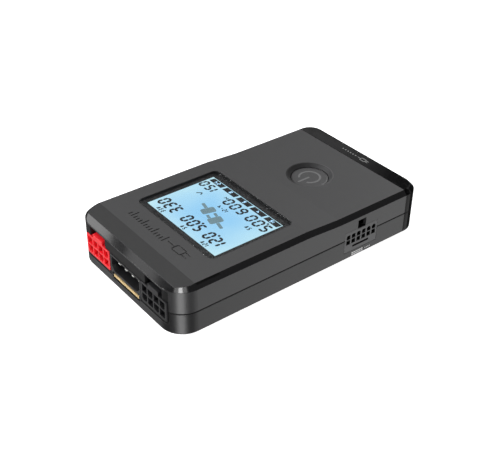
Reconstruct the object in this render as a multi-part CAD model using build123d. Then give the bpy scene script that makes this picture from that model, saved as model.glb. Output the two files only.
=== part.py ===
from build123d import *
import math
import os

# Handheld power-supply tester, in millimetres.
# Origin: bottom centre of the case. +Z up, long side along Y.
# -Y is the end with the three output sockets, +Y the glossy end cap.
# +X is the side with the 16-contact graphics socket, -X the side with the 24-contact main socket.

# ---------------------------------------------------------------- driving dimensions
# Case
CASE_LENGTH = 134.0
CASE_WIDTH = 74.5
CASE_HEIGHT = 22.7
FRONT_CORNER_RADIUS = 10.5
REAR_CORNER_RADIUS = 8.4
WALL = 2.0
TOP_CHAMFER = 2.0
BOTTOM_EDGE_RADIUS = 0.6
REAR_DROP = 1.0
RAMP_SHARE = 0.78
BROW_SETBACK = 10.5
BROW_DROP = 0.6
BROW_FRONT_SETBACK = 3.0
SEAM_HEIGHT = 10.1
SEAM_GAP = 0.3
TONGUE_DEPTH = 1.4
TONGUE_INSET = 1.05
CAP_LENGTH = 9.6
CAP_GAP = 0.12
SPIGOT_LENGTH = 3.0
SPIGOT_WALL = 1.0
FIT = 0.1

# Front panel
PANEL_WIDTH = 62.0
PANEL_BOTTOM = 4.3
PANEL_TOP = 20.1
PANEL_RECESS = 0.3
PANEL_FLANGE = 1.2

# Display
DISPLAY_SETBACK = 24.2
LENS_WIDTH = 54.4
LENS_LENGTH = 42.9
LENS_CORNER = 3.0
LENS_THICKNESS = 1.0
LENS_BELOW_TOP = 0.08
BORDER_THICKNESS = 0.2
VIEW_WIDTH = 49.2
VIEW_LENGTH = 35.6
LENS_LEDGE = 1.2
GLASS_GAP = 0.2
GLASS_THICKNESS = 2.0
BACKLIGHT_THICKNESS = 2.3
HOLDER_FLOOR = 1.0
HOLDER_WALL = 0.9
HOLDER_LEG = 4.0
DISPLAY_PIN_COUNT = 16
DISPLAY_PIN_PITCH = 2.0
DISPLAY_PIN = 0.45

# Power button and its switch
BUTTON_ZONE_SHARE = 0.567
DISH_DEPTH = 1.5
BUTTON_RADIUS = 8.5
DISH_RADIUS = BUTTON_RADIUS + 1.8
BUTTON_CLEARANCE = 0.25
BUTTON_THICKNESS = 3.2
BUTTON_FLANGE = 1.5
BUTTON_FLANGE_THICKNESS = 1.0
BUTTON_TRAVEL = 0.5
BUTTON_EDGE_RADIUS = 0.5
POST_RADIUS = 2.6
SWITCH_SIDE = 12.0
SWITCH_HEIGHT = 3.6
SWITCH_WELL_RADIUS = 3.65
SWITCH_FLOOR = 1.0
PLUNGER_RADIUS = 3.4
PLUNGER_PROUD = 1.0
PLUNGER_GAP = 0.1
DOME_HEIGHT = 0.4
DOME_RADIUS = 3.2

# Circuit board
BOARD_THICKNESS = 1.6
BOARD_TOP = 5.3
BOARD_SIDE_GAP = 2.3
BOARD_FRONT_SETBACK = 14.0
BOARD_REAR_SETBACK = 13.0
SOLDER_TAIL = 1.0
BOARD_SCREW_RADIUS = 0.75
STANDOFF_RADIUS = 2.6

# Case screws, driven from below
CASE_SCREW_SIDE_SETBACK = 6.3
CASE_SCREW_FRONT_SETBACK = 24.0
CASE_SCREW_REAR_SETBACK = 20.0
BOSS_RADIUS = 3.2
BOSS_TOP = 6.2
SCREW_RADIUS = 1.2
SCREW_LENGTH = 13.0
SCREW_HEAD_RADIUS = 2.4
SCREW_HEAD_HEIGHT = 1.5
SCREW_HEAD_RECESS = 0.5

# Eight- and twenty-four-contact power sockets, 4.2 mm grid
POWER_PITCH = 4.2
POWER_CELL = 3.5
POWER_SIDE_WALL = 0.6
POWER_HEIGHT = 9.6
POWER_DEPTH = 12.8
POWER_CELL_DEPTH = 10.4
POWER_PIN = 0.9
LATCH_RAMP_WIDTH = 7.2
LATCH_RAMP_HEIGHT = 2.6
LATCH_WINDOW_WIDTH = 12.0
RED_SOCKET_X = -20.3
BLACK_SOCKET_X = 21.6
MAIN_SOCKET_SHIFT = -5.0
MAIN_SOCKET_COLUMNS = 12
SOCKET_PROUD = 0.25

# Peripheral socket: four round contacts on a 5.08 mm grid
PERIPHERAL_X = 1.0
PERIPHERAL_PITCH = 5.08
PERIPHERAL_CAVITY_WIDTH = 21.0
PERIPHERAL_CAVITY_HEIGHT = 6.9
PERIPHERAL_CAVITY_BOTTOM = 7.2
PERIPHERAL_WALL = 0.8
PERIPHERAL_DEPTH = 12.0
PERIPHERAL_CAVITY_DEPTH = 9.8
PERIPHERAL_KEY = 2.2
PERIPHERAL_PIN_RADIUS = 1.0

# Drive power socket: flat tongue with fifteen contacts on a 1.27 mm grid
DRIVE_TONGUE_WIDTH = 20.0
DRIVE_TONGUE_THICKNESS = 1.1
DRIVE_TRAY_BOTTOM = WALL + 0.6
DRIVE_TRAY_WALL = 0.55
DRIVE_TONGUE_SETBACK = 0.2
DRIVE_PITCH = 1.27
DRIVE_CONTACTS = 15
DRIVE_CONTACT_WIDTH = 1.05
DRIVE_CONTACT_THICKNESS = 0.12

# Graphics socket: twelve contacts on a 3.0 mm grid and four signal contacts below
SIDE_PORT_REAR_SETBACK = 36.5
SIDE_PITCH = 3.0
SIDE_CELL = 2.25
SIDE_WIDTH = 18.9
SIDE_HEIGHT = 10.1
SIDE_BOTTOM = 3.6
SIDE_DEPTH = 10.4
SIDE_CELL_DEPTH = 8.6
SIDE_LOW_ROW = 5.0
SIDE_HIGH_ROW = 7.65
SIDE_PIN = 0.8
SIGNAL_SLOT_WIDTH = 9.5
SIGNAL_SLOT_HEIGHT = 1.1
SIGNAL_SLOT_CENTRE = 2.2
SIGNAL_PIN = 0.4
SIGNAL_PITCH = 2.0
LATCH_NOTCH_WIDTH = 4.7
LATCH_NOTCH_HEIGHT = 4.4

# Rating label recess underneath
LABEL_LENGTH = 46.0
LABEL_WIDTH = 30.0
LABEL_THICKNESS = 0.2
LABEL_RECESS = 0.3

# Engraving on the brow
ENGRAVING_DEPTH = 0.3
ENGRAVING_LINE = 0.55

# ---------------------------------------------------------------- derived places
FRONT_Y = -CASE_LENGTH / 2
REAR_Y = CASE_LENGTH / 2
SIDE_X = CASE_WIDTH / 2
CAP_START = REAR_Y - CAP_LENGTH
REAR_TOP = CASE_HEIGHT - REAR_DROP
FLOOR_TOP = WALL

LENS_CENTRE_Y = FRONT_Y + DISPLAY_SETBACK + LENS_LENGTH / 2
LENS_REAR_Y = LENS_CENTRE_Y + LENS_LENGTH / 2
LENS_TOP = CASE_HEIGHT - LENS_BELOW_TOP
LENS_BOTTOM = LENS_TOP - LENS_THICKNESS
LEDGE_TOP = LENS_BOTTOM - BORDER_THICKNESS
WINDOW_WIDTH = LENS_WIDTH - 2 * LENS_LEDGE
WINDOW_LENGTH = LENS_LENGTH - 2 * LENS_LEDGE
GLASS_WIDTH = WINDOW_WIDTH - 4 * FIT
GLASS_LENGTH = WINDOW_LENGTH - 4 * FIT
GLASS_TOP = LEDGE_TOP - GLASS_GAP
GLASS_BOTTOM = GLASS_TOP - GLASS_THICKNESS
BACKLIGHT_BOTTOM = GLASS_BOTTOM - BACKLIGHT_THICKNESS
HOLDER_BOTTOM = BACKLIGHT_BOTTOM - HOLDER_FLOOR

BUTTON_Y = LENS_REAR_Y + BUTTON_ZONE_SHARE * (CAP_START - LENS_REAR_Y)
RAMP_START = LENS_REAR_Y + 0.5
RAMP_END = RAMP_START + RAMP_SHARE * (BUTTON_Y - DISH_RADIUS - RAMP_START)
BUTTON_HOLE_RADIUS = BUTTON_RADIUS + BUTTON_CLEARANCE
BUTTON_TOP = REAR_TOP - DISH_DEPTH
BUTTON_BOTTOM = BUTTON_TOP - BUTTON_THICKNESS
FLANGE_TOP = BUTTON_BOTTOM + 0.6
COLLAR_BOTTOM = FLANGE_TOP + FIT
COLLAR_RADIUS = BUTTON_HOLE_RADIUS + WALL
SWITCH_TOP = BOARD_TOP + SWITCH_HEIGHT
WELL_FLOOR = BOARD_TOP + SWITCH_FLOOR
PLUNGER_TOP = SWITCH_TOP + PLUNGER_PROUD
PLUNGER_BOTTOM = WELL_FLOOR + DOME_HEIGHT + BUTTON_TRAVEL + PLUNGER_GAP
POST_BOTTOM = PLUNGER_TOP + PLUNGER_GAP

BOARD_BOTTOM = BOARD_TOP - BOARD_THICKNESS
BOARD_WIDTH = CASE_WIDTH - 2 * (WALL + BOARD_SIDE_GAP)
BOARD_FRONT = FRONT_Y + BOARD_FRONT_SETBACK
BOARD_REAR = REAR_Y - BOARD_REAR_SETBACK
SOCKET_BOTTOM = BOARD_TOP + FIT
MOUTH_Y = FRONT_Y + 0.05

SCREW_X = SIDE_X - CASE_SCREW_SIDE_SETBACK
SCREW_ROWS = (FRONT_Y + CASE_SCREW_FRONT_SETBACK, REAR_Y - CASE_SCREW_REAR_SETBACK)
CASE_SCREW_POINTS = [(x, y) for x in (-SCREW_X, SCREW_X) for y in SCREW_ROWS]
BOARD_SCREW_POINTS = [(-9.0, BOARD_FRONT + 8.0), (11.0, BOARD_FRONT + 8.0),
                      (-20.0, BOARD_REAR - 6.0), (21.0, BOARD_REAR - 6.0)]

SIDE_PORT_Y = REAR_Y - SIDE_PORT_REAR_SETBACK
LOW_MIN = (Align.CENTER, Align.MIN, Align.MIN)
CENTRED_LOW = (Align.CENTER, Align.CENTER, Align.MIN)

MAIN_SOCKET_REACH = BOSS_RADIUS + MAIN_SOCKET_COLUMNS * POWER_PITCH / 2 + POWER_SIDE_WALL + 0.5
MAIN_SOCKET_Y = max(MAIN_SOCKET_SHIFT, SCREW_ROWS[0] + MAIN_SOCKET_REACH)

# Sockets are drawn with the mouth at local y = 0, facing -Y, and the underside at local z = 0.
RED_PLACE = Pos(RED_SOCKET_X, MOUTH_Y, SOCKET_BOTTOM)
BLACK_PLACE = Pos(BLACK_SOCKET_X, MOUTH_Y, SOCKET_BOTTOM)
MAIN_PLACE = Pos(-SIDE_X + 0.05, MAIN_SOCKET_Y, SOCKET_BOTTOM) * Rot(0, 0, -90)
SIDE_PLACE = Pos(SIDE_X - 0.05, SIDE_PORT_Y, SIDE_BOTTOM) * Rot(0, 0, 90)


# ---------------------------------------------------------------- outer form
def footprint(inset):
    outline = Rectangle(CASE_WIDTH - 2 * inset, CASE_LENGTH - 2 * inset)
    outline = fillet(outline.vertices().group_by(Axis.Y)[0], FRONT_CORNER_RADIUS - inset)
    return fillet(outline.vertices().group_by(Axis.Y)[-1], REAR_CORNER_RADIUS - inset)


def slab(low_y, high_y):
    return Pos(0, (low_y + high_y) / 2, 0) * Box(2 * CASE_WIDTH, high_y - low_y, 6 * CASE_HEIGHT)


def tier(inset, top):
    # A straight-sided block with the footprint's outline and a 45 degree chamfer round its top.
    wall_top = top - TOP_CHAMFER
    column = Pos(0, 0, inset) * extrude(footprint(inset), wall_top - inset)
    crown = Pos(0, 0, wall_top) * extrude(footprint(inset), TOP_CHAMFER, taper=45)
    return column + crown


def ramp_section(inset, top, y):
    half = SIDE_X - inset
    points = [(-half, inset), (half, inset), (half, top - TOP_CHAMFER), (half - TOP_CHAMFER, top),
              (-half + TOP_CHAMFER, top), (-half, top - TOP_CHAMFER)]
    plane = Plane((0, y, 0), x_dir=(1, 0, 0), z_dir=(0, -1, 0))
    return plane * make_face(Polyline(points, close=True))


def brow_cutter(inset):
    # The slope from the brow line to the front edge, and the wider chamfer at that edge.
    top = CASE_HEIGHT - inset
    edge = FRONT_Y + inset
    points = [(FRONT_Y + BROW_SETBACK, top), (edge + BROW_FRONT_SETBACK, top - BROW_DROP),
              (edge, CASE_HEIGHT - TOP_CHAMFER - inset), (edge - 5, CASE_HEIGHT - TOP_CHAMFER - inset),
              (edge - 5, top + 5), (FRONT_Y + BROW_SETBACK, top + 5)]
    return extrude(Plane.YZ * make_face(Polyline(points, close=True)), CASE_WIDTH, both=True)


def outer_form(inset):
    # High front half, ramp behind the display and lower rear half, all pulled in by the inset.
    front = tier(inset, CASE_HEIGHT - inset) & slab(FRONT_Y - 1, RAMP_START)
    rear = tier(inset, REAR_TOP - inset) & slab(RAMP_END, REAR_Y + 1)
    ramp = loft([ramp_section(inset, CASE_HEIGHT - inset, RAMP_START),
                 ramp_section(inset, REAR_TOP - inset, RAMP_END)], ruled=True)
    return front + ramp + rear - brow_cutter(inset)


def layer(low_z, high_z, low_y, high_y):
    return Pos(0, (low_y + high_y) / 2, low_z) * Box(2 * CASE_WIDTH, high_y - low_y, high_z - low_z,
                                                     align=CENTRED_LOW)


def ring(outer_inset, inner_inset, low_z, high_z):
    outline = footprint(outer_inset) - footprint(inner_inset)
    return Pos(0, 0, low_z) * extrude(outline, high_z - low_z)


SKIN = fillet(outer_form(0).edges().group_by(Axis.Z)[0], BOTTOM_EDGE_RADIUS)
HOLLOW = outer_form(WALL)
SHELL = SKIN - HOLLOW
UPPER_FROM = SEAM_HEIGHT + SEAM_GAP / 2
LOWER_TO = SEAM_HEIGHT - SEAM_GAP / 2


# ---------------------------------------------------------------- openings shared by the shells
def box_between(low, high):
    size = [high[i] - low[i] for i in range(3)]
    centre = [(high[i] + low[i]) / 2 for i in range(3)]
    return Pos(*centre) * Box(*size)


def panel_opening():
    reach = PANEL_WIDTH / 2 + FIT
    return box_between((-reach, FRONT_Y - 1, PANEL_BOTTOM - FIT),
                       (reach, FRONT_Y + WALL + 1.5, PANEL_TOP + FIT))


def drive_opening():
    reach = drive_tray_width() / 2 + FIT
    return box_between((PERIPHERAL_X - reach, FRONT_Y - 1, DRIVE_TRAY_BOTTOM - FIT),
                       (PERIPHERAL_X + reach, FRONT_Y + WALL + 1.5, PANEL_BOTTOM + 1))


def power_width(columns):
    return columns * POWER_PITCH + 2 * POWER_SIDE_WALL


def main_opening():
    width = power_width(MAIN_SOCKET_COLUMNS) + 2 * FIT
    body = Pos(0, -1, -FIT) * Box(width, WALL + 3, POWER_HEIGHT + 2 * FIT, align=LOW_MIN)
    latch = Pos(0, -1, 0) * Box(LATCH_WINDOW_WIDTH, WALL + 3, POWER_HEIGHT + LATCH_RAMP_HEIGHT + 1.2,
                                align=LOW_MIN)
    return MAIN_PLACE * (body + latch)


def side_opening():
    body = Pos(0, -1, -FIT) * Box(SIDE_WIDTH + 2 * FIT, WALL + 3, SIDE_HEIGHT + 2 * FIT, align=LOW_MIN)
    latch = Pos(0, -1, SIDE_HEIGHT) * Box(LATCH_NOTCH_WIDTH, WALL + 3, LATCH_NOTCH_HEIGHT, align=LOW_MIN)
    return SIDE_PLACE * (body + latch)


# ---------------------------------------------------------------- engraving on the brow
def bar(x, y, width, length, base):
    return Pos(x, y, base) * Box(width, length, CASE_HEIGHT, align=CENTRED_LOW)


def engraving():
    # A plug pictogram with its lead, and a ruler of short and long strokes beside it.
    base = CASE_HEIGHT - ENGRAVING_DEPTH
    middle = FRONT_Y + DISPLAY_SETBACK - 6.2
    line = ENGRAVING_LINE
    outer = Rectangle(6.4, 4.2)
    outer = fillet(outer.vertices(), 1.2)
    inner = Rectangle(6.4 - 2 * line, 4.2 - 2 * line)
    inner = fillet(inner.vertices(), 1.2 - line)
    cuts = [Pos(14.0, middle, base) * extrude(outer - inner, CASE_HEIGHT)]
    for offset in (-1.1, 1.1):
        cuts.append(bar(18.9, middle + offset, 3.0, line, base))
    cuts.append(bar(8.4, middle, 4.4, line, base))
    for stroke in range(14):
        length = 4.2 if stroke % 4 == 0 else 2.2
        cuts.append(bar(4.2 - 1.9 * stroke, middle - (4.2 - length) / 2, line, length, base))
    return cuts


# ---------------------------------------------------------------- case
def top_cover():
    body = SHELL & layer(UPPER_FROM, 2 * CASE_HEIGHT, FRONT_Y - 1, CAP_START - CAP_GAP / 2)
    tongue = ring(TONGUE_INSET, WALL, SEAM_HEIGHT - TONGUE_DEPTH, UPPER_FROM + 1.0)
    tongue = tongue & layer(0, CASE_HEIGHT, FRONT_Y - 1, CAP_START - CAP_GAP / 2)
    collar = Pos(0, BUTTON_Y, COLLAR_BOTTOM) * Cylinder(COLLAR_RADIUS, REAR_TOP - WALL / 2 - COLLAR_BOTTOM,
                                                        align=CENTRED_LOW)
    columns = []
    for x, y in CASE_SCREW_POINTS:
        roof = (CASE_HEIGHT if y < 0 else REAR_TOP) - WALL / 2
        columns.append(Pos(x, y, BOSS_TOP + FIT) * Cylinder(BOSS_RADIUS, roof - BOSS_TOP - FIT,
                                                            align=CENTRED_LOW))
    cover = body + tongue + collar + columns
    pocket = fillet(Rectangle(LENS_WIDTH + 2 * FIT, LENS_LENGTH + 2 * FIT).vertices(), LENS_CORNER + FIT)
    window = Rectangle(WINDOW_WIDTH, WINDOW_LENGTH)
    dish_cone = Cone(BUTTON_HOLE_RADIUS, DISH_RADIUS, DISH_DEPTH, align=CENTRED_LOW)
    cuts = [
        Pos(0, LENS_CENTRE_Y, LEDGE_TOP) * extrude(pocket, CASE_HEIGHT),
        Pos(0, LENS_CENTRE_Y, SEAM_HEIGHT) * extrude(window, CASE_HEIGHT),
        Pos(0, BUTTON_Y, BUTTON_TOP) * dish_cone,
        Pos(0, BUTTON_Y, SEAM_HEIGHT) * Cylinder(BUTTON_HOLE_RADIUS, CASE_HEIGHT, align=CENTRED_LOW),
        panel_opening(),
        main_opening(),
        side_opening(),
    ]
    for x, y in CASE_SCREW_POINTS:
        pilot_depth = SCREW_HEAD_RECESS + SCREW_HEAD_HEIGHT + SCREW_LENGTH + 1.0 - BOSS_TOP
        cuts.append(Pos(x, y, BOSS_TOP) * Cylinder(SCREW_RADIUS + 0.05, pilot_depth, align=CENTRED_LOW))
    return cover - cuts - engraving()


def bottom_shell():
    body = SHELL & layer(-1, LOWER_TO, FRONT_Y - 1, CAP_START - CAP_GAP / 2)
    bosses = []
    for x, y in CASE_SCREW_POINTS:
        bosses.append(Pos(x, y, 0) * Cylinder(BOSS_RADIUS, BOSS_TOP, align=CENTRED_LOW))
    for x, y in BOARD_SCREW_POINTS:
        bosses.append(Pos(x, y, WALL / 2) * Cylinder(STANDOFF_RADIUS, BOARD_BOTTOM - WALL / 2,
                                                     align=CENTRED_LOW))
    shell = body + bosses
    cuts = [
        ring(TONGUE_INSET - FIT, WALL + 0.01, SEAM_HEIGHT - TONGUE_DEPTH - FIT, CASE_HEIGHT),
        panel_opening(),
        drive_opening(),
        main_opening(),
        side_opening(),
        Box(LABEL_WIDTH + 2 * FIT, LABEL_LENGTH + 2 * FIT, 2 * LABEL_RECESS),
    ]
    for x, y in CASE_SCREW_POINTS:
        head_room = SCREW_HEAD_RECESS + SCREW_HEAD_HEIGHT
        cuts.append(Pos(x, y, 0) * Cylinder(SCREW_HEAD_RADIUS + 0.3, 2 * head_room))
        cuts.append(Pos(x, y, 0) * Cylinder(SCREW_RADIUS + 0.3, CASE_HEIGHT, align=CENTRED_LOW))
    for x, y in BOARD_SCREW_POINTS:
        cuts.append(Pos(x, y, FLOOR_TOP) * Cylinder(BOARD_SCREW_RADIUS + 0.05, CASE_HEIGHT,
                                                    align=CENTRED_LOW))
    return shell - cuts


def end_cap(low_z, high_z):
    body = SHELL & layer(low_z, high_z, CAP_START + CAP_GAP / 2, REAR_Y + 1)
    root = (outer_form(WALL) - outer_form(WALL + SPIGOT_WALL)) & layer(low_z, high_z, CAP_START + CAP_GAP,
                                                                      CAP_START + 2)
    spigot = (outer_form(WALL + FIT) - outer_form(WALL + SPIGOT_WALL)) & layer(low_z, high_z,
                                                                              CAP_START - SPIGOT_LENGTH,
                                                                              CAP_START + 2)
    return body + root + spigot


def front_panel():
    # A curved plate that follows the case front, with a flange behind the case wall.
    reach = PANEL_WIDTH / 2
    flange = PANEL_FLANGE + reach
    face_zone = box_between((-reach, FRONT_Y - 1, PANEL_BOTTOM), (reach, FRONT_Y + 8, PANEL_TOP))
    flange_zone = box_between((-flange, FRONT_Y - 1, FLOOR_TOP + FIT),
                              (flange, FRONT_Y + 8, CASE_HEIGHT - WALL - TOP_CHAMFER - FIT))
    low = -1.0
    face = ring(PANEL_RECESS, WALL + FIT, low, CASE_HEIGHT) & face_zone
    back = ring(WALL + FIT, WALL + 1.0, low, CASE_HEIGHT) & flange_zone
    cuts = [
        socket_clearance(RED_PLACE, 4),
        socket_clearance(BLACK_PLACE, 4),
        box_between((PERIPHERAL_X - peripheral_width() / 2 - FIT, FRONT_Y - 1, DRIVE_TRAY_BOTTOM - FIT),
                    (PERIPHERAL_X + peripheral_width() / 2 + FIT, FRONT_Y + 8,
                     PERIPHERAL_CAVITY_BOTTOM + PERIPHERAL_CAVITY_HEIGHT + PERIPHERAL_WALL + FIT)),
    ]
    return face + back - cuts


def socket_clearance(place, columns):
    body = Pos(0, -2, -FIT) * Box(power_width(columns) + 2 * FIT, 12, POWER_HEIGHT + 2 * FIT, align=LOW_MIN)
    latch_top = PANEL_TOP - SOCKET_BOTTOM - 0.6
    latch = Pos(0, -2, 0) * Box(LATCH_WINDOW_WIDTH, 12, latch_top, align=LOW_MIN)
    return place * (body + latch)


def rating_label():
    outline = fillet(Rectangle(LABEL_WIDTH, LABEL_LENGTH).vertices(), 1.5)
    return Pos(0, 0, LABEL_RECESS - LABEL_THICKNESS) * extrude(outline, LABEL_THICKNESS)


# ---------------------------------------------------------------- display
def display_lens():
    outline = fillet(Rectangle(LENS_WIDTH, LENS_LENGTH).vertices(), LENS_CORNER)
    lens = Pos(0, LENS_CENTRE_Y, LENS_BOTTOM) * extrude(outline, LENS_THICKNESS)
    return chamfer(lens.edges().group_by(Axis.Z)[-1], 0.2)


def lens_border():
    outline = fillet(Rectangle(LENS_WIDTH, LENS_LENGTH).vertices(), LENS_CORNER)
    view = Rectangle(VIEW_WIDTH, VIEW_LENGTH)
    return Pos(0, LENS_CENTRE_Y, LEDGE_TOP) * extrude(outline - view, BORDER_THICKNESS)


def display_glass():
    # Two bonded plates: the lower one is longer and carries the contact ledge.
    half = GLASS_THICKNESS / 2
    lower = Box(GLASS_WIDTH, GLASS_LENGTH, half, align=CENTRED_LOW)
    upper = Pos(0, 1.0, half) * Box(GLASS_WIDTH, GLASS_LENGTH - 2.0, half, align=CENTRED_LOW)
    return Pos(0, LENS_CENTRE_Y, GLASS_BOTTOM) * (lower + upper)


def display_backlight():
    width = GLASS_WIDTH - 2 * (HOLDER_WALL + FIT)
    length = GLASS_LENGTH - 2 * (HOLDER_WALL + FIT)
    return Pos(0, LENS_CENTRE_Y, BACKLIGHT_BOTTOM) * Box(width, length, BACKLIGHT_THICKNESS,
                                                         align=CENTRED_LOW)


def display_holder():
    tray = Box(GLASS_WIDTH, GLASS_LENGTH, BACKLIGHT_THICKNESS + HOLDER_FLOOR, align=CENTRED_LOW)
    pocket = Pos(0, 0, HOLDER_FLOOR) * Box(GLASS_WIDTH - 2 * HOLDER_WALL, GLASS_LENGTH - 2 * HOLDER_WALL,
                                           CASE_HEIGHT, align=CENTRED_LOW)
    holder = Pos(0, LENS_CENTRE_Y, HOLDER_BOTTOM) * (tray - pocket)
    legs = []
    for x in (-GLASS_WIDTH / 2 + 10.0, GLASS_WIDTH / 2 - 10.0):
        for y in (-GLASS_LENGTH / 2 + 2.0, GLASS_LENGTH / 2 - 2.0):
            legs.append(Pos(x, LENS_CENTRE_Y + y, BOARD_TOP) * Box(HOLDER_LEG, HOLDER_LEG,
                                                                   HOLDER_BOTTOM - BOARD_TOP + 0.5,
                                                                   align=CENTRED_LOW))
    return holder + legs


def display_pins():
    front = LENS_CENTRE_Y - GLASS_LENGTH / 2 - FIT - DISPLAY_PIN / 2
    height = GLASS_BOTTOM + GLASS_THICKNESS / 2 - BOARD_TOP
    pins = []
    for i in range(DISPLAY_PIN_COUNT):
        x = (i - (DISPLAY_PIN_COUNT - 1) / 2) * DISPLAY_PIN_PITCH
        pins.append(Pos(x, front, BOARD_TOP) * Box(DISPLAY_PIN, DISPLAY_PIN, height, align=CENTRED_LOW))
    return Compound(children=pins)


# ---------------------------------------------------------------- power button and switch
def power_button():
    cap = Pos(0, 0, BUTTON_BOTTOM) * Cylinder(BUTTON_RADIUS, BUTTON_THICKNESS, align=CENTRED_LOW)
    cap = fillet(cap.edges().group_by(Axis.Z)[-1], BUTTON_EDGE_RADIUS)
    flange_bottom = FLANGE_TOP - BUTTON_FLANGE_THICKNESS
    flange = Pos(0, 0, flange_bottom) * Cylinder(BUTTON_RADIUS + BUTTON_FLANGE, BUTTON_FLANGE_THICKNESS,
                                                 align=CENTRED_LOW)
    post = Pos(0, 0, POST_BOTTOM) * Cylinder(POST_RADIUS, FLANGE_TOP - POST_BOTTOM, align=CENTRED_LOW)
    ribs = []
    for turn in (0, 90):
        ribs.append(Pos(0, 0, POST_BOTTOM + 1.5) * Rot(0, 0, turn) * Box(
            2 * BUTTON_RADIUS - 3, 1.0, flange_bottom - POST_BOTTOM - 1.4, align=CENTRED_LOW))
    return Pos(0, BUTTON_Y, 0) * (cap + flange + post + ribs)


def switch_body():
    block = Box(SWITCH_SIDE, SWITCH_SIDE, SWITCH_HEIGHT, align=CENTRED_LOW)
    block = chamfer(block.edges().filter_by(Axis.Z), 1.0)
    well = Pos(0, 0, SWITCH_FLOOR) * Cylinder(SWITCH_WELL_RADIUS, SWITCH_HEIGHT, align=CENTRED_LOW)
    studs = []
    for x in (-4.6, 4.6):
        for y in (-4.6, 4.6):
            studs.append(Pos(x, y, SWITCH_HEIGHT) * Cylinder(0.6, 0.3, align=CENTRED_LOW))
    return Pos(0, BUTTON_Y, BOARD_TOP) * (block - well + studs)


def switch_plunger():
    stem = Cylinder(PLUNGER_RADIUS, PLUNGER_TOP - PLUNGER_BOTTOM, align=CENTRED_LOW)
    stem = chamfer(stem.edges().group_by(Axis.Z)[-1], 0.3)
    return Pos(0, BUTTON_Y, PLUNGER_BOTTOM) * stem


def switch_dome():
    # A shallow snap disc on the switch's floor.
    sphere_radius = (DOME_RADIUS ** 2 + DOME_HEIGHT ** 2) / (2 * DOME_HEIGHT)
    ball = Pos(0, 0, DOME_HEIGHT - sphere_radius) * Sphere(sphere_radius)
    lens = ball & Box(4 * DOME_RADIUS, 4 * DOME_RADIUS, 4 * DOME_HEIGHT, align=CENTRED_LOW)
    return Pos(0, BUTTON_Y, WELL_FLOOR) * lens


# ---------------------------------------------------------------- sockets
def power_cells(columns):
    # Cell centres as (x, z, keyed): every second cell has two chamfered corners.
    cells = []
    for row in range(2):
        z = POWER_HEIGHT / 2 + (row - 0.5) * POWER_PITCH
        for column in range(columns):
            x = (column - (columns - 1) / 2) * POWER_PITCH
            cells.append((x, z, (row + column) % 2 == 0, row))
    return cells


def power_housing(columns):
    width = power_width(columns)
    body = Box(width, POWER_DEPTH, POWER_HEIGHT, align=LOW_MIN)
    body = chamfer(body.edges().filter_by(Axis.Y), 0.3)
    ramp_points = [(0.0, 0.0), (0.0, LATCH_RAMP_HEIGHT * 0.7), (4.2, LATCH_RAMP_HEIGHT),
                   (5.4, LATCH_RAMP_HEIGHT), (5.4, 0.0)]
    ramp_face = Plane.YZ * make_face(Polyline(ramp_points, close=True))
    ramp = Pos(0, 0, POWER_HEIGHT) * extrude(ramp_face, LATCH_RAMP_WIDTH / 2, both=True)
    cuts = []
    for x, z, keyed, row in power_cells(columns):
        cell = Box(POWER_CELL, POWER_CELL_DEPTH, POWER_CELL, align=(Align.CENTER, Align.MIN, Align.CENTER))
        if keyed:
            cell = chamfer(cell.edges().filter_by(Axis.Y).group_by(Axis.Z)[0], 0.9)
        cuts.append(Pos(x, 0, z) * cell)
        cuts.append(Pos(x, POWER_DEPTH, z) * Box(POWER_PIN + 0.1, 2 * POWER_DEPTH, POWER_PIN + 0.1))
    return body + ramp - cuts


def bent_pin(x, z, size, tip, turn_y, bottom):
    # A square contact: along the socket, then down to the solder side.
    level = Pos(x, tip, z) * Box(size, turn_y + size / 2 - tip, size,
                                 align=(Align.CENTER, Align.MIN, Align.CENTER))
    nose = level.faces().sort_by(Axis.Y)[0].edges()
    level = chamfer(nose, size * 0.25)
    down = Pos(x, turn_y, bottom) * Box(size, size, z + size / 2 - bottom, align=CENTRED_LOW)
    return level + down


def power_turn(row):
    return POWER_DEPTH + 1.3 + row * POWER_PITCH


def power_pins(columns, base):
    bottom = BOARD_BOTTOM - SOLDER_TAIL - base
    pins = []
    for x, z, keyed, row in power_cells(columns):
        pins.append(bent_pin(x, z, POWER_PIN, 2.2, power_turn(row), bottom))
    return pins


def power_tails(place, columns):
    return [(place * Pos(x, power_turn(row), 0)).position for x, z, keyed, row in power_cells(columns)]


def peripheral_width():
    return PERIPHERAL_CAVITY_WIDTH + 2 * PERIPHERAL_WALL


def peripheral_housing():
    height = PERIPHERAL_CAVITY_HEIGHT + 2 * PERIPHERAL_WALL
    body = Box(peripheral_width(), PERIPHERAL_DEPTH, height, align=LOW_MIN)
    cavity = Pos(0, 0, PERIPHERAL_WALL) * Box(PERIPHERAL_CAVITY_WIDTH, PERIPHERAL_CAVITY_DEPTH,
                                              PERIPHERAL_CAVITY_HEIGHT, align=LOW_MIN)
    cavity = chamfer(cavity.edges().filter_by(Axis.Y).group_by(Axis.Z)[0], PERIPHERAL_KEY)
    holes = []
    for x in peripheral_places():
        holes.append(Pos(x, PERIPHERAL_DEPTH, height / 2 + 0.4) * Rot(90, 0, 0) * Cylinder(
            PERIPHERAL_PIN_RADIUS + 0.05, 2 * PERIPHERAL_DEPTH))
    place = Pos(PERIPHERAL_X, MOUTH_Y, PERIPHERAL_CAVITY_BOTTOM - PERIPHERAL_WALL)
    return place * (body - cavity - holes)


def peripheral_places():
    return [(i - 1.5) * PERIPHERAL_PITCH for i in range(4)]


def peripheral_turn():
    return PERIPHERAL_DEPTH + 4.2


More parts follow.
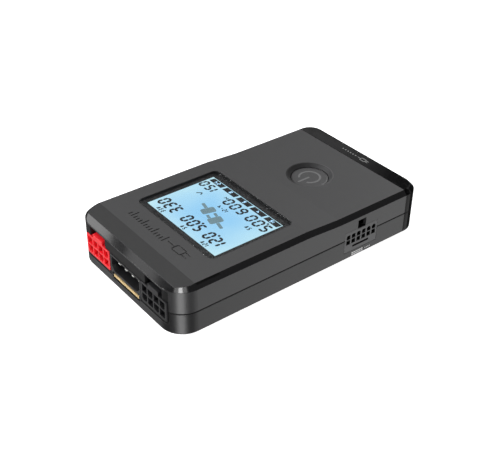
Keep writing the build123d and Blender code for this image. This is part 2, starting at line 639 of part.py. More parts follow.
def peripheral_pins():
    base = PERIPHERAL_CAVITY_BOTTOM - PERIPHERAL_WALL
    z = PERIPHERAL_CAVITY_HEIGHT / 2 + PERIPHERAL_WALL + 0.4
    bottom = BOARD_BOTTOM - SOLDER_TAIL - base
    radius = PERIPHERAL_PIN_RADIUS
    pins = []
    for x in peripheral_places():
        reach = peripheral_turn() + 0.45 - 1.8
        rod = Pos(x, 1.8, z) * Rot(-90, 0, 0) * Cylinder(radius, reach, align=CENTRED_LOW)
        rod = fillet(rod.faces().sort_by(Axis.Y)[0].edges(), radius * 0.7)
        down = Pos(x, peripheral_turn(), bottom) * Box(0.9, 0.9, z - bottom, align=CENTRED_LOW)
        pins.append(Pos(PERIPHERAL_X, MOUTH_Y, base) * (rod + down))
    return Compound(children=pins)


def drive_tray_width():
    return DRIVE_TONGUE_WIDTH + 2 * (DRIVE_TRAY_WALL + 0.4)


def drive_housing():
    # A tray open above, with the contact tongue standing free in it.
    depth = BOARD_FRONT - FIT - MOUTH_Y
    height = PERIPHERAL_CAVITY_BOTTOM - PERIPHERAL_WALL - FIT - DRIVE_TRAY_BOTTOM
    tray = Box(drive_tray_width(), depth, height, align=LOW_MIN)
    room = Pos(0, 0, DRIVE_TRAY_WALL) * Box(drive_tray_width() - 2 * DRIVE_TRAY_WALL, 8.5, height,
                                            align=LOW_MIN)
    tongue_top = BOARD_TOP - DRIVE_TRAY_BOTTOM
    above = Pos(0, 0, tongue_top) * Box(drive_tray_width() - 2 * DRIVE_TRAY_WALL, depth, height,
                                        align=LOW_MIN)
    tongue = Pos(0, DRIVE_TONGUE_SETBACK, tongue_top - DRIVE_TONGUE_THICKNESS) * Box(
        DRIVE_TONGUE_WIDTH, depth - DRIVE_TONGUE_SETBACK, DRIVE_TONGUE_THICKNESS, align=LOW_MIN)
    return Pos(PERIPHERAL_X, MOUTH_Y, DRIVE_TRAY_BOTTOM) * (tray - room - above + tongue)


def drive_contacts():
    # Each strip lies on the tongue, turns down over its nose and ends soldered on the board.
    nose_y = MOUTH_Y + DRIVE_TONGUE_SETBACK
    reach = BOARD_FRONT + 1.35 - nose_y
    strips = []
    for i in range(DRIVE_CONTACTS):
        x = PERIPHERAL_X + (i - (DRIVE_CONTACTS - 1) / 2) * DRIVE_PITCH
        level = Pos(x, nose_y, BOARD_TOP) * Box(DRIVE_CONTACT_WIDTH, reach, DRIVE_CONTACT_THICKNESS,
                                                align=LOW_MIN)
        nose = Pos(x, nose_y - DRIVE_CONTACT_THICKNESS, BOARD_TOP - DRIVE_TONGUE_THICKNESS) * Box(
            DRIVE_CONTACT_WIDTH, DRIVE_CONTACT_THICKNESS, DRIVE_TONGUE_THICKNESS + DRIVE_CONTACT_THICKNESS,
            align=LOW_MIN)
        strips.append(level + nose)
    return Compound(children=strips)


def side_cells():
    cells = []
    for row, z in enumerate((SIDE_LOW_ROW, SIDE_HIGH_ROW)):
        for column in range(6):
            cells.append(((column - 2.5) * SIDE_PITCH, z, row))
    return cells


def side_turn(row):
    return SIDE_DEPTH + 1.3 + row * SIDE_PITCH


def signal_places():
    return [(i - 1.5) * SIGNAL_PITCH for i in range(4)]


def side_housing():
    body = Box(SIDE_WIDTH, SIDE_DEPTH, SIDE_HEIGHT, align=LOW_MIN)
    body = chamfer(body.edges().filter_by(Axis.Y), 0.3)
    ramp_points = [(2.2, 0.0), (5.0, 1.2), (6.0, 1.2), (6.0, 0.0)]
    ramp_face = Plane.YZ * make_face(Polyline(ramp_points, close=True))
    ramp = Pos(0, 0, SIDE_HEIGHT) * extrude(ramp_face, LATCH_NOTCH_WIDTH / 2 - 0.6, both=True)
    cuts = []
    low_middle = (Align.CENTER, Align.MIN, Align.CENTER)
    for x, z, row in side_cells():
        cell = Box(SIDE_CELL, SIDE_CELL_DEPTH, SIDE_CELL, align=low_middle)
        if row == 1:
            cell = chamfer(cell.edges().filter_by(Axis.Y).group_by(Axis.Z)[-1], 0.5)
        cuts.append(Pos(x, 0, z) * cell)
        cuts.append(Pos(x, SIDE_DEPTH, z) * Box(SIDE_PIN + 0.1, 2 * SIDE_DEPTH, SIDE_PIN + 0.1))
    cuts.append(Pos(0, 0, SIGNAL_SLOT_CENTRE) * Box(SIGNAL_SLOT_WIDTH, SIDE_CELL_DEPTH, SIGNAL_SLOT_HEIGHT,
                                                    align=low_middle))
    for x in signal_places():
        cuts.append(Pos(x, SIDE_DEPTH, SIGNAL_SLOT_CENTRE) * Box(SIGNAL_PIN + 0.1, 2 * SIDE_DEPTH,
                                                                 SIGNAL_PIN + 0.1))
    return SIDE_PLACE * (body + ramp - cuts)


def side_pins():
    bottom = BOARD_BOTTOM - SOLDER_TAIL - SIDE_BOTTOM
    return [bent_pin(x, z, SIDE_PIN, 1.8, side_turn(row), bottom) for x, z, row in side_cells()]


def signal_pins():
    bottom = BOARD_BOTTOM - SOLDER_TAIL - SIDE_BOTTOM
    turn = side_turn(-0.27)
    return [bent_pin(x, SIGNAL_SLOT_CENTRE, SIGNAL_PIN, 1.8, turn, bottom) for x in signal_places()]


def placed(place, solids):
    return Compound(children=[place * solid for solid in solids])


# ---------------------------------------------------------------- circuit board and what is on it
def main_board():
    outline = Rectangle(BOARD_WIDTH, BOARD_REAR - BOARD_FRONT)
    outline = fillet(outline.vertices(), 2.0)
    board = Pos(0, (BOARD_FRONT + BOARD_REAR) / 2, BOARD_BOTTOM) * extrude(outline, BOARD_THICKNESS)
    cuts = [SIDE_PLACE * Pos(0, -WALL, -1) * Box(SIDE_WIDTH + 4 * FIT, SIDE_DEPTH + WALL + 0.3,
                                                 SIDE_HEIGHT + 2, align=LOW_MIN)]
    for x, y in CASE_SCREW_POINTS:
        cuts.append(Pos(x, y, 0) * Cylinder(BOSS_RADIUS + 0.4, CASE_HEIGHT, align=CENTRED_LOW))
    for x, y in BOARD_SCREW_POINTS:
        cuts.append(Pos(x, y, 0) * Cylinder(BOARD_SCREW_RADIUS + 0.35, CASE_HEIGHT, align=CENTRED_LOW))
    tails = power_tails(RED_PLACE, 4) + power_tails(BLACK_PLACE, 4)
    tails += power_tails(MAIN_PLACE, MAIN_SOCKET_COLUMNS)
    tails += [(SIDE_PLACE * Pos(x, side_turn(row), 0)).position for x, z, row in side_cells()]
    for x in peripheral_places():
        tails.append(Vector(PERIPHERAL_X + x, MOUTH_Y + peripheral_turn(), 0))
    for tail in tails:
        cuts.append(Pos(tail.X, tail.Y, 0) * Cylinder(0.72, CASE_HEIGHT, align=CENTRED_LOW))
    for x in signal_places():
        tail = (SIDE_PLACE * Pos(x, side_turn(-0.27), 0)).position
        cuts.append(Pos(tail.X, tail.Y, 0) * Cylinder(0.36, CASE_HEIGHT, align=CENTRED_LOW))
    return board - cuts


def cross_screw(head_radius, head_height, shank_radius, length):
    # Drawn head down: the head's driving face is at z = 0 and the shank runs up.
    head = Cylinder(head_radius, head_height, align=CENTRED_LOW)
    head = fillet(head.edges().group_by(Axis.Z)[0], head_height * 0.35)
    shank = Pos(0, 0, head_height) * Cylinder(shank_radius, length, align=CENTRED_LOW)
    shank = chamfer(shank.edges().group_by(Axis.Z)[-1], shank_radius * 0.5)
    slot = Box(head_radius * 1.3, head_radius * 0.28, head_height)
    return head + shank - [slot, Rot(0, 0, 90) * slot]


def case_screws():
    screw = cross_screw(SCREW_HEAD_RADIUS, SCREW_HEAD_HEIGHT, SCREW_RADIUS, SCREW_LENGTH)
    return Compound(children=[Pos(x, y, SCREW_HEAD_RECESS) * screw for x, y in CASE_SCREW_POINTS])


def board_screws():
    screw = cross_screw(2.0, 1.2, BOARD_SCREW_RADIUS, BOARD_TOP - FLOOR_TOP - 0.4)
    return Compound(children=[Pos(x, y, BOARD_TOP + 1.2) * Rot(180, 0, 0) * screw
                              for x, y in BOARD_SCREW_POINTS])


def gull_wing(side):
    # One lead of a flat package: out of the body at half height, down, and a foot on the board.
    points = [(0.0, 0.6), (0.5, 0.6), (0.8, 0.0), (1.4, 0.0), (1.4, 0.15), (0.9, 0.15), (0.62, 0.75),
              (0.0, 0.75)]
    lead = extrude(Plane.XZ * make_face(Polyline(points, close=True)), 0.16, both=True)
    return Pos(side, 0, 0) * lead


def chip_body(width, length, height):
    body = Pos(0, 0, 0.15) * Box(width, length, height, align=CENTRED_LOW)
    body = chamfer(body.edges().group_by(Axis.Z)[-1], 0.15)
    return body - Pos(-width / 2 + 1.0, length / 2 - 1.0, height + 0.15) * Cylinder(0.35, 0.2)


def chip_leads(width, length, per_side, turns):
    leads = []
    for turn in turns:
        reach = (width if turn % 180 == 0 else length) / 2
        run = (length if turn % 180 == 0 else width) - 1.4
        for i in range(per_side):
            offset = (i - (per_side - 1) / 2) * run / (per_side - 1)
            leads.append(Rot(0, 0, turn) * Pos(0, offset, 0) * gull_wing(reach))
    return leads


CONTROLLER_PLACE = Pos(-3.0, (LENS_REAR_Y + BUTTON_Y - SWITCH_SIDE / 2) / 2 + 1.0, BOARD_TOP)
COMPARATOR_PLACES = [Pos(x, BOARD_FRONT + 16.0, BOARD_TOP) for x in (-6.0, 8.0)]


def controller_chip():
    return CONTROLLER_PLACE * chip_body(10.0, 10.0, 1.4)


def controller_leads():
    return placed(CONTROLLER_PLACE, chip_leads(10.0, 10.0, 12, (0, 90, 180, 270)))


def comparator_chips():
    return Compound(children=[place * chip_body(4.0, 8.6, 1.4) for place in COMPARATOR_PLACES])


def comparator_leads():
    leads = chip_leads(4.0, 8.6, 7, (0, 180))
    return Compound(children=[place * lead for place in COMPARATOR_PLACES for lead in leads])


def load_resistors():
    # Cement-cased resistors that load the supply under test, under the display.
    block = fillet(Box(7.0, 16.0, 6.5, align=CENTRED_LOW).edges().filter_by(Axis.Y), 0.7)
    lead = Box(0.7, 0.7, 3.4, align=CENTRED_LOW)
    solids = []
    for i in range(3):
        place = Pos(-9.0 + 9.5 * i, LENS_REAR_Y - 12.5, BOARD_TOP)
        solids.append(place * Pos(0, 0, 0.4) * block)
        for y in (-8.35, 8.35):
            solids.append(place * Pos(0, y, 0) * lead)
    return Compound(children=solids)


def storage_capacitors():
    can = Cylinder(3.1, 7.2, align=CENTRED_LOW)
    can = fillet(can.edges().group_by(Axis.Z)[-1], 0.5)
    can = can - [Pos(0, 0, 7.2) * Box(3.6, 0.25, 0.3), Pos(0, 0, 7.2) * Box(0.25, 3.6, 0.3)]
    places = [Pos(19.0, LENS_REAR_Y + 6.0 + 8.0 * i, BOARD_TOP) for i in range(2)]
    places.append(Pos(11.0, BUTTON_Y - 12.0, BOARD_TOP))
    return Compound(children=[place * can for place in places])


def buzzer():
    can = Cylinder(5.0, 6.0, align=CENTRED_LOW)
    can = fillet(can.edges().group_by(Axis.Z)[-1], 0.6)
    hole = Pos(0, 0, 5.0) * Cylinder(1.0, 2.0, align=CENTRED_LOW)
    return Pos(-14.0, BUTTON_Y + 2.0, BOARD_TOP) * (can - hole)


def crystal():
    can = fillet(Box(4.6, 11.0, 3.2, align=CENTRED_LOW).edges().filter_by(Axis.Z), 2.1)
    return CONTROLLER_PLACE * Pos(-11.0, 0, 0) * can


def power_inductors():
    base = fillet(Box(6.0, 6.0, 3.0, align=CENTRED_LOW).edges().filter_by(Axis.Z), 0.8)
    return Compound(children=[Pos(13.0, BUTTON_Y + 9.0 * i, BOARD_TOP) * base for i in (0, 1)])


def chip_parts():
    # Rows of small surface-mounted resistors and capacitors.
    part = Box(2.0, 1.25, 0.6, align=CENTRED_LOW)
    solids = []
    for row in range(4):
        for column in range(5):
            solids.append(Pos(-8.0 + 4.0 * column, LENS_CENTRE_Y - 9.0 + 2.4 * row, BOARD_TOP) * part)
    for row in range(5):
        solids.append(CONTROLLER_PLACE * Pos(10.0, -5.0 + 2.4 * row, 0) * part)
    return Compound(children=solids)


# ---------------------------------------------------------------- write every sub-part
NODES = {
    "top_cover": top_cover,
    "bottom_shell": bottom_shell,
    "end_cap_upper": lambda: end_cap(UPPER_FROM, 2 * CASE_HEIGHT),
    "end_cap_lower": lambda: end_cap(-1, LOWER_TO),
    "front_panel": front_panel,
    "rating_label": rating_label,
    "case_screws": case_screws,
    "display_lens": display_lens,
    "lens_border": lens_border,
    "display_glass": display_glass,
    "display_backlight": display_backlight,
    "display_holder": display_holder,
    "display_pins": display_pins,
    "power_button": power_button,
    "switch_body": switch_body,
    "switch_plunger": switch_plunger,
    "switch_dome": switch_dome,
    "red_socket_housing": lambda: RED_PLACE * power_housing(4),
    "red_socket_pins": lambda: placed(RED_PLACE, power_pins(4, SOCKET_BOTTOM)),
    "black_socket_housing": lambda: BLACK_PLACE * power_housing(4),
    "black_socket_pins": lambda: placed(BLACK_PLACE, power_pins(4, SOCKET_BOTTOM)),
    "main_socket_housing": lambda: MAIN_PLACE * power_housing(MAIN_SOCKET_COLUMNS),
    "main_socket_pins": lambda: placed(MAIN_PLACE, power_pins(MAIN_SOCKET_COLUMNS, SOCKET_BOTTOM)),
    "peripheral_housing": peripheral_housing,
    "peripheral_pins": peripheral_pins,
    "drive_housing": drive_housing,
    "drive_contacts": drive_contacts,
    "side_socket_housing": side_housing,
    "side_socket_pins": lambda: placed(SIDE_PLACE, side_pins()),
    "signal_pins": lambda: placed(SIDE_PLACE, signal_pins()),
    "main_board": main_board,
    "board_screws": board_screws,
    "controller_chip": controller_chip,
    "controller_leads": controller_leads,
    "comparator_chips": comparator_chips,
    "comparator_leads": comparator_leads,
    "load_resistors": load_resistors,
    "storage_capacitors": storage_capacitors,
    "buzzer": buzzer,
    "crystal": crystal,
    "power_inductors": power_inductors,
    "chip_parts": chip_parts,
}

os.makedirs("parts", exist_ok=True)
for name, make in NODES.items():
    export_step(make(), f"parts/{name}.step")
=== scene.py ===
import logging
import math
from dataclasses import dataclass, field
from enum import Enum
from typing import Any, Iterable, Optional, Sequence, Union

import bmesh
import bpy
from mathutils import Matrix, Vector


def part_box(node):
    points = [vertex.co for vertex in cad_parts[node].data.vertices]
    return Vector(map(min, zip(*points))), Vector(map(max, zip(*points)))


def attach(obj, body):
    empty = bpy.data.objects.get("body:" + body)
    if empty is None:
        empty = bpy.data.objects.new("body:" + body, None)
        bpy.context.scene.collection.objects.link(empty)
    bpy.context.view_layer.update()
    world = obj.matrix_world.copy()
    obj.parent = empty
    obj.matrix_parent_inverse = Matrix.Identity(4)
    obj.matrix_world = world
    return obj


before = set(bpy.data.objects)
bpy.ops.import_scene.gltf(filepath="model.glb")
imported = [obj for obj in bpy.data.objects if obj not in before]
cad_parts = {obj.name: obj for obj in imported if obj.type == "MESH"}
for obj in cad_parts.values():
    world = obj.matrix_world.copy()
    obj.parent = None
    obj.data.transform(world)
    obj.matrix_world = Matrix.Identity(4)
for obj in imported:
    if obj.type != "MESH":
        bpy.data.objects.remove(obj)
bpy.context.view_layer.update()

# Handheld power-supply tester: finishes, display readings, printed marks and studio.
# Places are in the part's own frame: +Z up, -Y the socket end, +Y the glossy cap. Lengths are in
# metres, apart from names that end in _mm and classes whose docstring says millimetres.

MM = 0.001
Colour = tuple[float, float, float]
Point = tuple[float, float]

log = logging.getLogger("tester")


def grey(level: float) -> Colour:
    """A neutral colour of that linear level."""
    return (level, level, level)


def linear(value: int) -> float:
    """A linear level from a display value of 0 to 255."""
    share = value / 255
    return share / 12.92 if share <= 0.04045 else ((share + 0.055) / 1.055) ** 2.4


def srgb(red: int, green: int, blue: int) -> Colour:
    """A linear colour from display values of 0 to 255."""
    return (linear(red), linear(green), linear(blue))


def middle_of(node: str) -> Point:
    """The middle of a CAD node's box, seen from above."""
    low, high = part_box(node)
    return ((low.x + high.x) / 2, (low.y + high.y) / 2)


# ---------------------------------------------------------------- shader expressions
class Signal:
    """One output of a node tree, with the arithmetic of an ordinary number."""

    def __init__(self, sheet: "Sheet", socket: bpy.types.NodeSocket) -> None:
        """Wraps a socket of the sheet's tree."""
        self.sheet = sheet
        self.socket = socket

    def maths(self, operation: str, first: Any, second: Any = 0.0, clamp: bool = False) -> "Signal":
        """Adds a Math node.

        Args:
            operation: The node's operation.
            first: A number or signal.
            second: A number or signal.
            clamp: Whether the result is held between 0 and 1.

        Returns:
            The node's result.
        """
        settings = {"operation": operation, "use_clamp": clamp}
        return self.sheet.node("ShaderNodeMath", settings, {0: first, 1: second})

    def __add__(self, other: Any) -> "Signal":
        """Sum."""
        return self.maths("ADD", self, other)

    __radd__ = __add__

    def __sub__(self, other: Any) -> "Signal":
        """Difference."""
        return self.maths("SUBTRACT", self, other)

    def __rsub__(self, other: Any) -> "Signal":
        """Reflected difference."""
        return self.maths("SUBTRACT", other, self)

    def __mul__(self, other: Any) -> "Signal":
        """Product."""
        return self.maths("MULTIPLY", self, other)

    __rmul__ = __mul__

    def __truediv__(self, other: Any) -> "Signal":
        """Quotient."""
        return self.maths("DIVIDE", self, other)

    def __rtruediv__(self, other: Any) -> "Signal":
        """Reflected quotient."""
        return self.maths("DIVIDE", other, self)

    def __pow__(self, other: Any) -> "Signal":
        """Power."""
        return self.maths("POWER", self, other)

    def __neg__(self) -> "Signal":
        """Negation."""
        return self.maths("MULTIPLY", self, -1.0)

    def clamped(self) -> "Signal":
        """The value held between 0 and 1."""
        return self.maths("ADD", self, 0.0, clamp=True)

    def above(self, edge: float, softness: float) -> "Signal":
        """A mask that rises from 0 at the edge to 1 a softness above it."""
        return ((self - edge) / softness).clamped()

    def size(self) -> "Signal":
        """The value without its sign."""
        return self.maths("ABSOLUTE", self)

    def wave(self) -> "Signal":
        """The sine of the value."""
        return self.maths("SINE", self)


class Sheet:
    """A material whose nodes are written down one after another."""

    def __init__(self, name: str) -> None:
        """Makes the material with its Principled shader and output."""
        self.material = bpy.data.materials.new(name)
        self.material.use_nodes = True
        self.tree = self.material.node_tree
        self.tree.nodes.clear()
        self.shader = self.tree.nodes.new("ShaderNodeBsdfPrincipled")
        output = self.tree.nodes.new("ShaderNodeOutputMaterial")
        self.tree.links.new(self.shader.outputs[0], output.inputs["Surface"])

    def feed(self, socket: bpy.types.NodeSocket, value: Any) -> None:
        """Links a signal to a socket, or sets the socket to a constant.

        Args:
            socket: The input socket.
            value: A signal, number, colour or vector.
        """
        if isinstance(value, Signal):
            self.tree.links.new(value.socket, socket)
        elif isinstance(value, tuple) and len(value) == 3 and socket.type == "RGBA":
            socket.default_value = (*value, 1.0)
        else:
            socket.default_value = value

    def node(self, kind: str, settings: Optional[dict[str, Any]] = None,
             inputs: Optional[dict[Union[int, str], Any]] = None, output: Union[int, str] = 0) -> Signal:
        """Adds any node.

        Args:
            kind: The node's type.
            settings: Its properties, set first. The key "stops" fills a colour ramp.
            inputs: Numbers, colours or signals for its sockets.
            output: Which output the result is.

        Returns:
            The chosen output.
        """
        added = self.tree.nodes.new(kind)
        for key, value in (settings or {}).items():
            if key == "stops":
                self.fill_ramp(added.color_ramp, value)
            else:
                setattr(added, key, value)
        for key, value in (inputs or {}).items():
            self.feed(added.inputs[key], value)
        return Signal(self, added.outputs[output])

    @staticmethod
    def fill_ramp(ramp: bpy.types.ColorRamp, stops: Sequence[tuple[float, Colour]]) -> None:
        """Gives a ramp its stops, from first to last.

        Args:
            ramp: The ramp to fill.
            stops: Each stop's place from 0 to 1 and its colour.
        """
        while len(ramp.elements) < len(stops):
            ramp.elements.new(1.0)
        for element, (place, colour) in zip(ramp.elements, stops):
            element.position = place
            element.color = (*colour, 1.0)

    def place(self) -> Signal:
        """The point's place in the part's frame."""
        return self.node("ShaderNodeTexCoord", output="Object")

    def axis(self, letter: str, vector: Optional[Signal] = None) -> Signal:
        """One coordinate of a vector, by default of the point's place."""
        return self.node("ShaderNodeSeparateXYZ", inputs={0: vector or self.place()}, output=letter)

    def between(self, letter: str, low: float, high: float, softness: float) -> Signal:
        """A mask that is 1 where one coordinate lies between two values."""
        return self.axis(letter).above(low, softness) * (1.0 - self.axis(letter).above(high, softness))

    def noise(self, size_mm: float, detail: float = 2.0, roughness: float = 0.5,
              stretch: Vector = Vector((1, 1, 1))) -> Signal:
        """Cloudy noise from 0 to 1.

        Args:
            size_mm: The size of one cloud.
            detail: How many finer layers it has.
            roughness: How strong the finer layers are.
            stretch: How much finer it is along each axis.

        Returns:
            The noise value.
        """
        spread = self.node("ShaderNodeMapping", inputs={"Vector": self.place(), "Scale": tuple(stretch)})
        return self.node("ShaderNodeTexNoise", inputs={"Vector": spread, "Scale": 1 / (size_mm * MM),
                                                       "Detail": detail, "Roughness": roughness})

    def cells(self, size_mm: float) -> Signal:
        """Distance to the nearest of many scattered points, in cell sizes."""
        scale = 1 / (size_mm * MM)
        return self.node("ShaderNodeTexVoronoi", inputs={"Vector": self.place(), "Scale": scale})

    def blend(self, share: Any, first: Any, second: Any) -> Signal:
        """A colour between two colours."""
        return self.node("ShaderNodeMix", {"data_type": "RGBA"}, {0: share, 6: first, 7: second}, output=2)

    def tint(self, colour: Any, level: Any) -> Signal:
        """A colour made darker or lighter by a level around 1."""
        return self.node("ShaderNodeVectorMath", {"operation": "SCALE"}, {0: colour, "Scale": level})

    def rounded(self, radius_mm: float) -> Signal:
        """The surface's normal as if its edges were rounded."""
        return self.node("ShaderNodeBevel", {"samples": 4}, {"Radius": radius_mm * MM})

    def edges(self, rounded_normal: Signal) -> Signal:
        """A mask that is 1 on sharp edges and 0 on flat faces.

        Args:
            rounded_normal: The normal with rounded edges.

        Returns:
            The mask.
        """
        flat = self.node("ShaderNodeNewGeometry", output="Normal")
        likeness = self.node("ShaderNodeVectorMath", {"operation": "DOT_PRODUCT"},
                             {0: rounded_normal, 1: flat}, output="Value")
        return (1.0 - likeness).above(0.02, 0.22)

    def bump(self, height: Signal, depth_mm: float, normal: Optional[Signal] = None,
             strength: float = 1.0) -> Signal:
        """A normal that follows a height between 0 and 1.

        Args:
            height: The height signal.
            depth_mm: How deep the full height is.
            normal: The normal that it starts from.
            strength: How much of it shows.

        Returns:
            The new normal.
        """
        inputs: dict[Union[int, str], Any] = {"Height": height, "Distance": depth_mm * MM,
                                              "Strength": strength}
        if normal is not None:
            inputs["Normal"] = normal
        return self.node("ShaderNodeBump", inputs=inputs)

    def finish(self, **sockets: Any) -> bpy.types.Material:
        """Feeds the Principled shader and gives the material back.

        Args:
            **sockets: Values by socket name, with underscores for spaces.

        Returns:
            The finished material.
        """
        for name, value in sockets.items():
            self.feed(self.shader.inputs[name.replace("_", " ")], value)
        return self.material


# ---------------------------------------------------------------- finishes
@dataclass(frozen=True)
class MouldedPlastic:
    """Injection-moulded plastic with a fine grain, slight clouding, edges lightened partly as wear and
    partly as a painted highlight, and painted shade inside a socket's mouth.
    """

    name: str
    colour: Colour
    roughness: float = 0.5
    grain_mm: float = 0.3
    grain_depth_mm: float = 0.012
    edge_mm: float = 0.25
    wear_and_highlight_level: float = 1.7
    clouding: float = 0.1
    # Behind this X, inside a socket, the colour is darkened as painted shade.
    mouth_x: Optional[float] = None
    mouth_softness: float = 0.1 * MM
    painted_depth_shade: float = 0.04

    def material(self) -> bpy.types.Material:
        """The grained plastic as nodes.

        Returns:
            The finished material.
        """
        sheet = Sheet(self.name)
        rounded = sheet.rounded(self.edge_mm)
        edge = sheet.edges(rounded)
        cloud = sheet.noise(14.0, 3.0)
        speck = sheet.noise(self.grain_mm, 2.0, 0.6)
        scuff_and_highlight_patch = sheet.noise(2.2, 4.0, 0.65).above(0.6, 0.12)
        wear_and_highlight = edge * (0.55 + 0.45 * scuff_and_highlight_patch)
        # The edges are lightened partly as wear and partly as a painted highlight.
        level = 1.0 + self.clouding * (cloud - 0.5) + 0.12 * (speck - 0.5) + (self.wear_and_highlight_level - 1.0) * wear_and_highlight
        # Behind mouth_x, inside the socket, the colour is darkened as painted shade.
        if self.mouth_x is not None:
            outside = sheet.axis("X").above(self.mouth_x, self.mouth_softness)
            level = level * (self.painted_depth_shade + (1.0 - self.painted_depth_shade) * outside)
        return sheet.finish(
            Base_Color=sheet.tint(self.colour, level),
            Roughness=(self.roughness + 0.1 * (speck - 0.5) + 0.06 * (cloud - 0.5) - 0.1 * wear_and_highlight).clamped(),
            Normal=sheet.bump(speck, self.grain_depth_mm, rounded),
        )


@dataclass(frozen=True)
class CasePlastic:
    """The case's plastic: a matt grained top, satin sides and a polished band between them whose darker
    colour is painted shade, with painted shade and highlight in the button's dish and painted shade on the
    brow, along the seam and in the engraved marks.
    """

    name: str
    colour: Colour
    # The band's darker colour is painted shade.
    band_painted_shade_colour: Colour
    top_roughness: float = 0.62
    side_roughness: float = 0.38
    band_roughness: float = 0.13
    dish_roughness: float = 0.75
    dish_centre: Point = (0.0, 32.6 * MM)
    dish_reach: float = 10.7 * MM
    dish_softness: float = 0.3 * MM
    # The dish is darkened towards one side as painted shade and lightened on the other as a painted
    # highlight.
    dish_painted_shade_side: Point = (-0.83, -0.55)
    dish_painted_shade: float = 0.8
    # The sloping brow is darkened as painted shade.
    brow_painted_shade: float = 0.65
    # The seam between the shells is darkened as painted shade.
    seam: Point = (9.98 * MM, 10.52 * MM)
    seam_softness: float = 0.08 * MM
    seam_painted_shade: float = 0.95
    # The engraved marks are darkened as painted shade.
    engraving_y: Point = (-56.0 * MM, -45.0 * MM)
    engraving_z: Point = (22.0 * MM, 22.62 * MM)
    engraving_softness: float = 0.05 * MM
    engraving_painted_shade: float = 0.75
    grain_mm: float = 0.28
    grain_depth_mm: float = 0.010

    def from_dish(self, sheet: Sheet) -> tuple[Signal, Signal]:
        """The point's X and Y from the middle of the button's dish."""
        return sheet.axis("X") - self.dish_centre[0], sheet.axis("Y") - self.dish_centre[1]

    def outside_dish(self, sheet: Sheet) -> Signal:
        """A mask that is 0 in the button's dish and 1 elsewhere."""
        across, along = self.from_dish(sheet)
        return ((across * across + along * along) ** 0.5).above(self.dish_reach, self.dish_softness)

    def dish_painted_light_fall(self, sheet: Sheet) -> Signal:
        """How far a spot lies towards the dish's side that is darkened as painted shade; the opposite side
        is lightened as a painted highlight.

        Args:
            sheet: The sheet that the nodes go to.

        Returns:
            A value from -1 to 1 in the dish, and 0 outside it.
        """
        across, along = self.from_dish(sheet)
        side_x, side_y = (part / self.dish_reach for part in self.dish_painted_shade_side)
        return (across * side_x + along * side_y) * (1.0 - self.outside_dish(sheet))

    def inside_engraving(self, sheet: Sheet) -> Signal:
        """A mask that is 1 on the floor and walls of the engraved marks."""
        rows = sheet.between("Y", *self.engraving_y, self.engraving_softness)
        return rows * sheet.between("Z", *self.engraving_z, self.engraving_softness)

    def material(self) -> bpy.types.Material:
        """The case plastic as nodes.

        Returns:
            The finished material.
        """
        sheet = Sheet(self.name)
        rounded = sheet.rounded(0.3)
        edge = sheet.edges(rounded)
        facing = sheet.node("ShaderNodeNewGeometry", output="Normal")
        lean = sheet.axis("Z", facing)
        flat = lean.above(0.93, 0.05)
        brow = (-sheet.axis("Y", facing)).above(0.03, 0.03) * flat
        band = lean.above(0.4, 0.1) * (1.0 - flat)
        polish_and_painted_shade = band * self.outside_dish(sheet)
        cloud = sheet.noise(22.0, 3.0)
        speck = sheet.noise(self.grain_mm, 3.0, 0.6)
        painted_dish_light = self.dish_painted_light_fall(sheet)
        seam = sheet.between("Z", *self.seam, self.seam_softness)
        rub_and_highlight_patch = sheet.noise(6.0, 4.0, 0.7).above(0.56, 0.2)
        # The edges are lightened partly as wear and partly as a painted highlight.
        level = 1.0 + 0.07 * (cloud - 0.5) + 0.16 * (speck - 0.5) + 0.5 * edge * (0.5 + 0.5 * rub_and_highlight_patch)
        # Painted shade on the brow and in the engraved marks.
        level = level - self.brow_painted_shade * brow - self.engraving_painted_shade * self.inside_engraving(sheet)
        # Painted shade and highlight across the dish, then painted shade along the seam.
        level = (level - self.dish_painted_shade * painted_dish_light) * (1.0 - self.seam_painted_shade * seam)
        satin = self.side_roughness + (self.top_roughness - self.side_roughness) * flat
        satin = satin + (self.dish_roughness - satin) * band
        roughness = satin + (self.band_roughness - satin) * polish_and_painted_shade + 0.3 * painted_dish_light + 0.6 * seam
        grain = speck * (1.0 - 0.95 * band)
        return sheet.finish(
            # The polished band takes its darker colour as painted shade.
            Base_Color=sheet.tint(sheet.blend(polish_and_painted_shade, self.colour, self.band_painted_shade_colour), level),
            Roughness=(roughness + 0.05 * (cloud - 0.5) + 0.08 * (speck - 0.5) - 0.06 * edge).clamped(),
            Normal=sheet.bump(grain, self.grain_depth_mm, rounded),
        )


@dataclass(frozen=True)
class GlossPlastic:
    """Polished plastic with hairline swirls, dust and a softened edge."""

    name: str
    colour: Colour
    roughness: float = 0.07
    edge_mm: float = 0.3
    coat: float = 0.4
    gloss: float = 0.5

    def material(self) -> bpy.types.Material:
        """The polished plastic as nodes.

        Returns:
            The finished material.
        """
        sheet = Sheet(self.name)
        rounded = sheet.rounded(self.edge_mm)
        edge = sheet.edges(rounded)
        smear = sheet.noise(9.0, 4.0, 0.6)
        hair = sheet.noise(0.9, 5.0, 0.7, Vector((1.0, 0.12, 1.0))).above(0.62, 0.1)
        dust = 1.0 - sheet.cells(1.6).above(0.05, 0.05)
        level = 1.0 + 0.5 * edge + 0.3 * hair + 1.5 * dust
        return sheet.finish(
            Base_Color=sheet.tint(self.colour, level),
            Roughness=(self.roughness + 0.1 * smear.above(0.5, 0.3) + 0.08 * hair + 0.3 * dust).clamped(),
            Normal=sheet.bump(hair, 0.002, rounded, 0.4),
            Coat_Weight=self.coat * (1.0 - dust),
            Coat_Roughness=0.04,
            Specular_IOR_Level=self.gloss,
        )


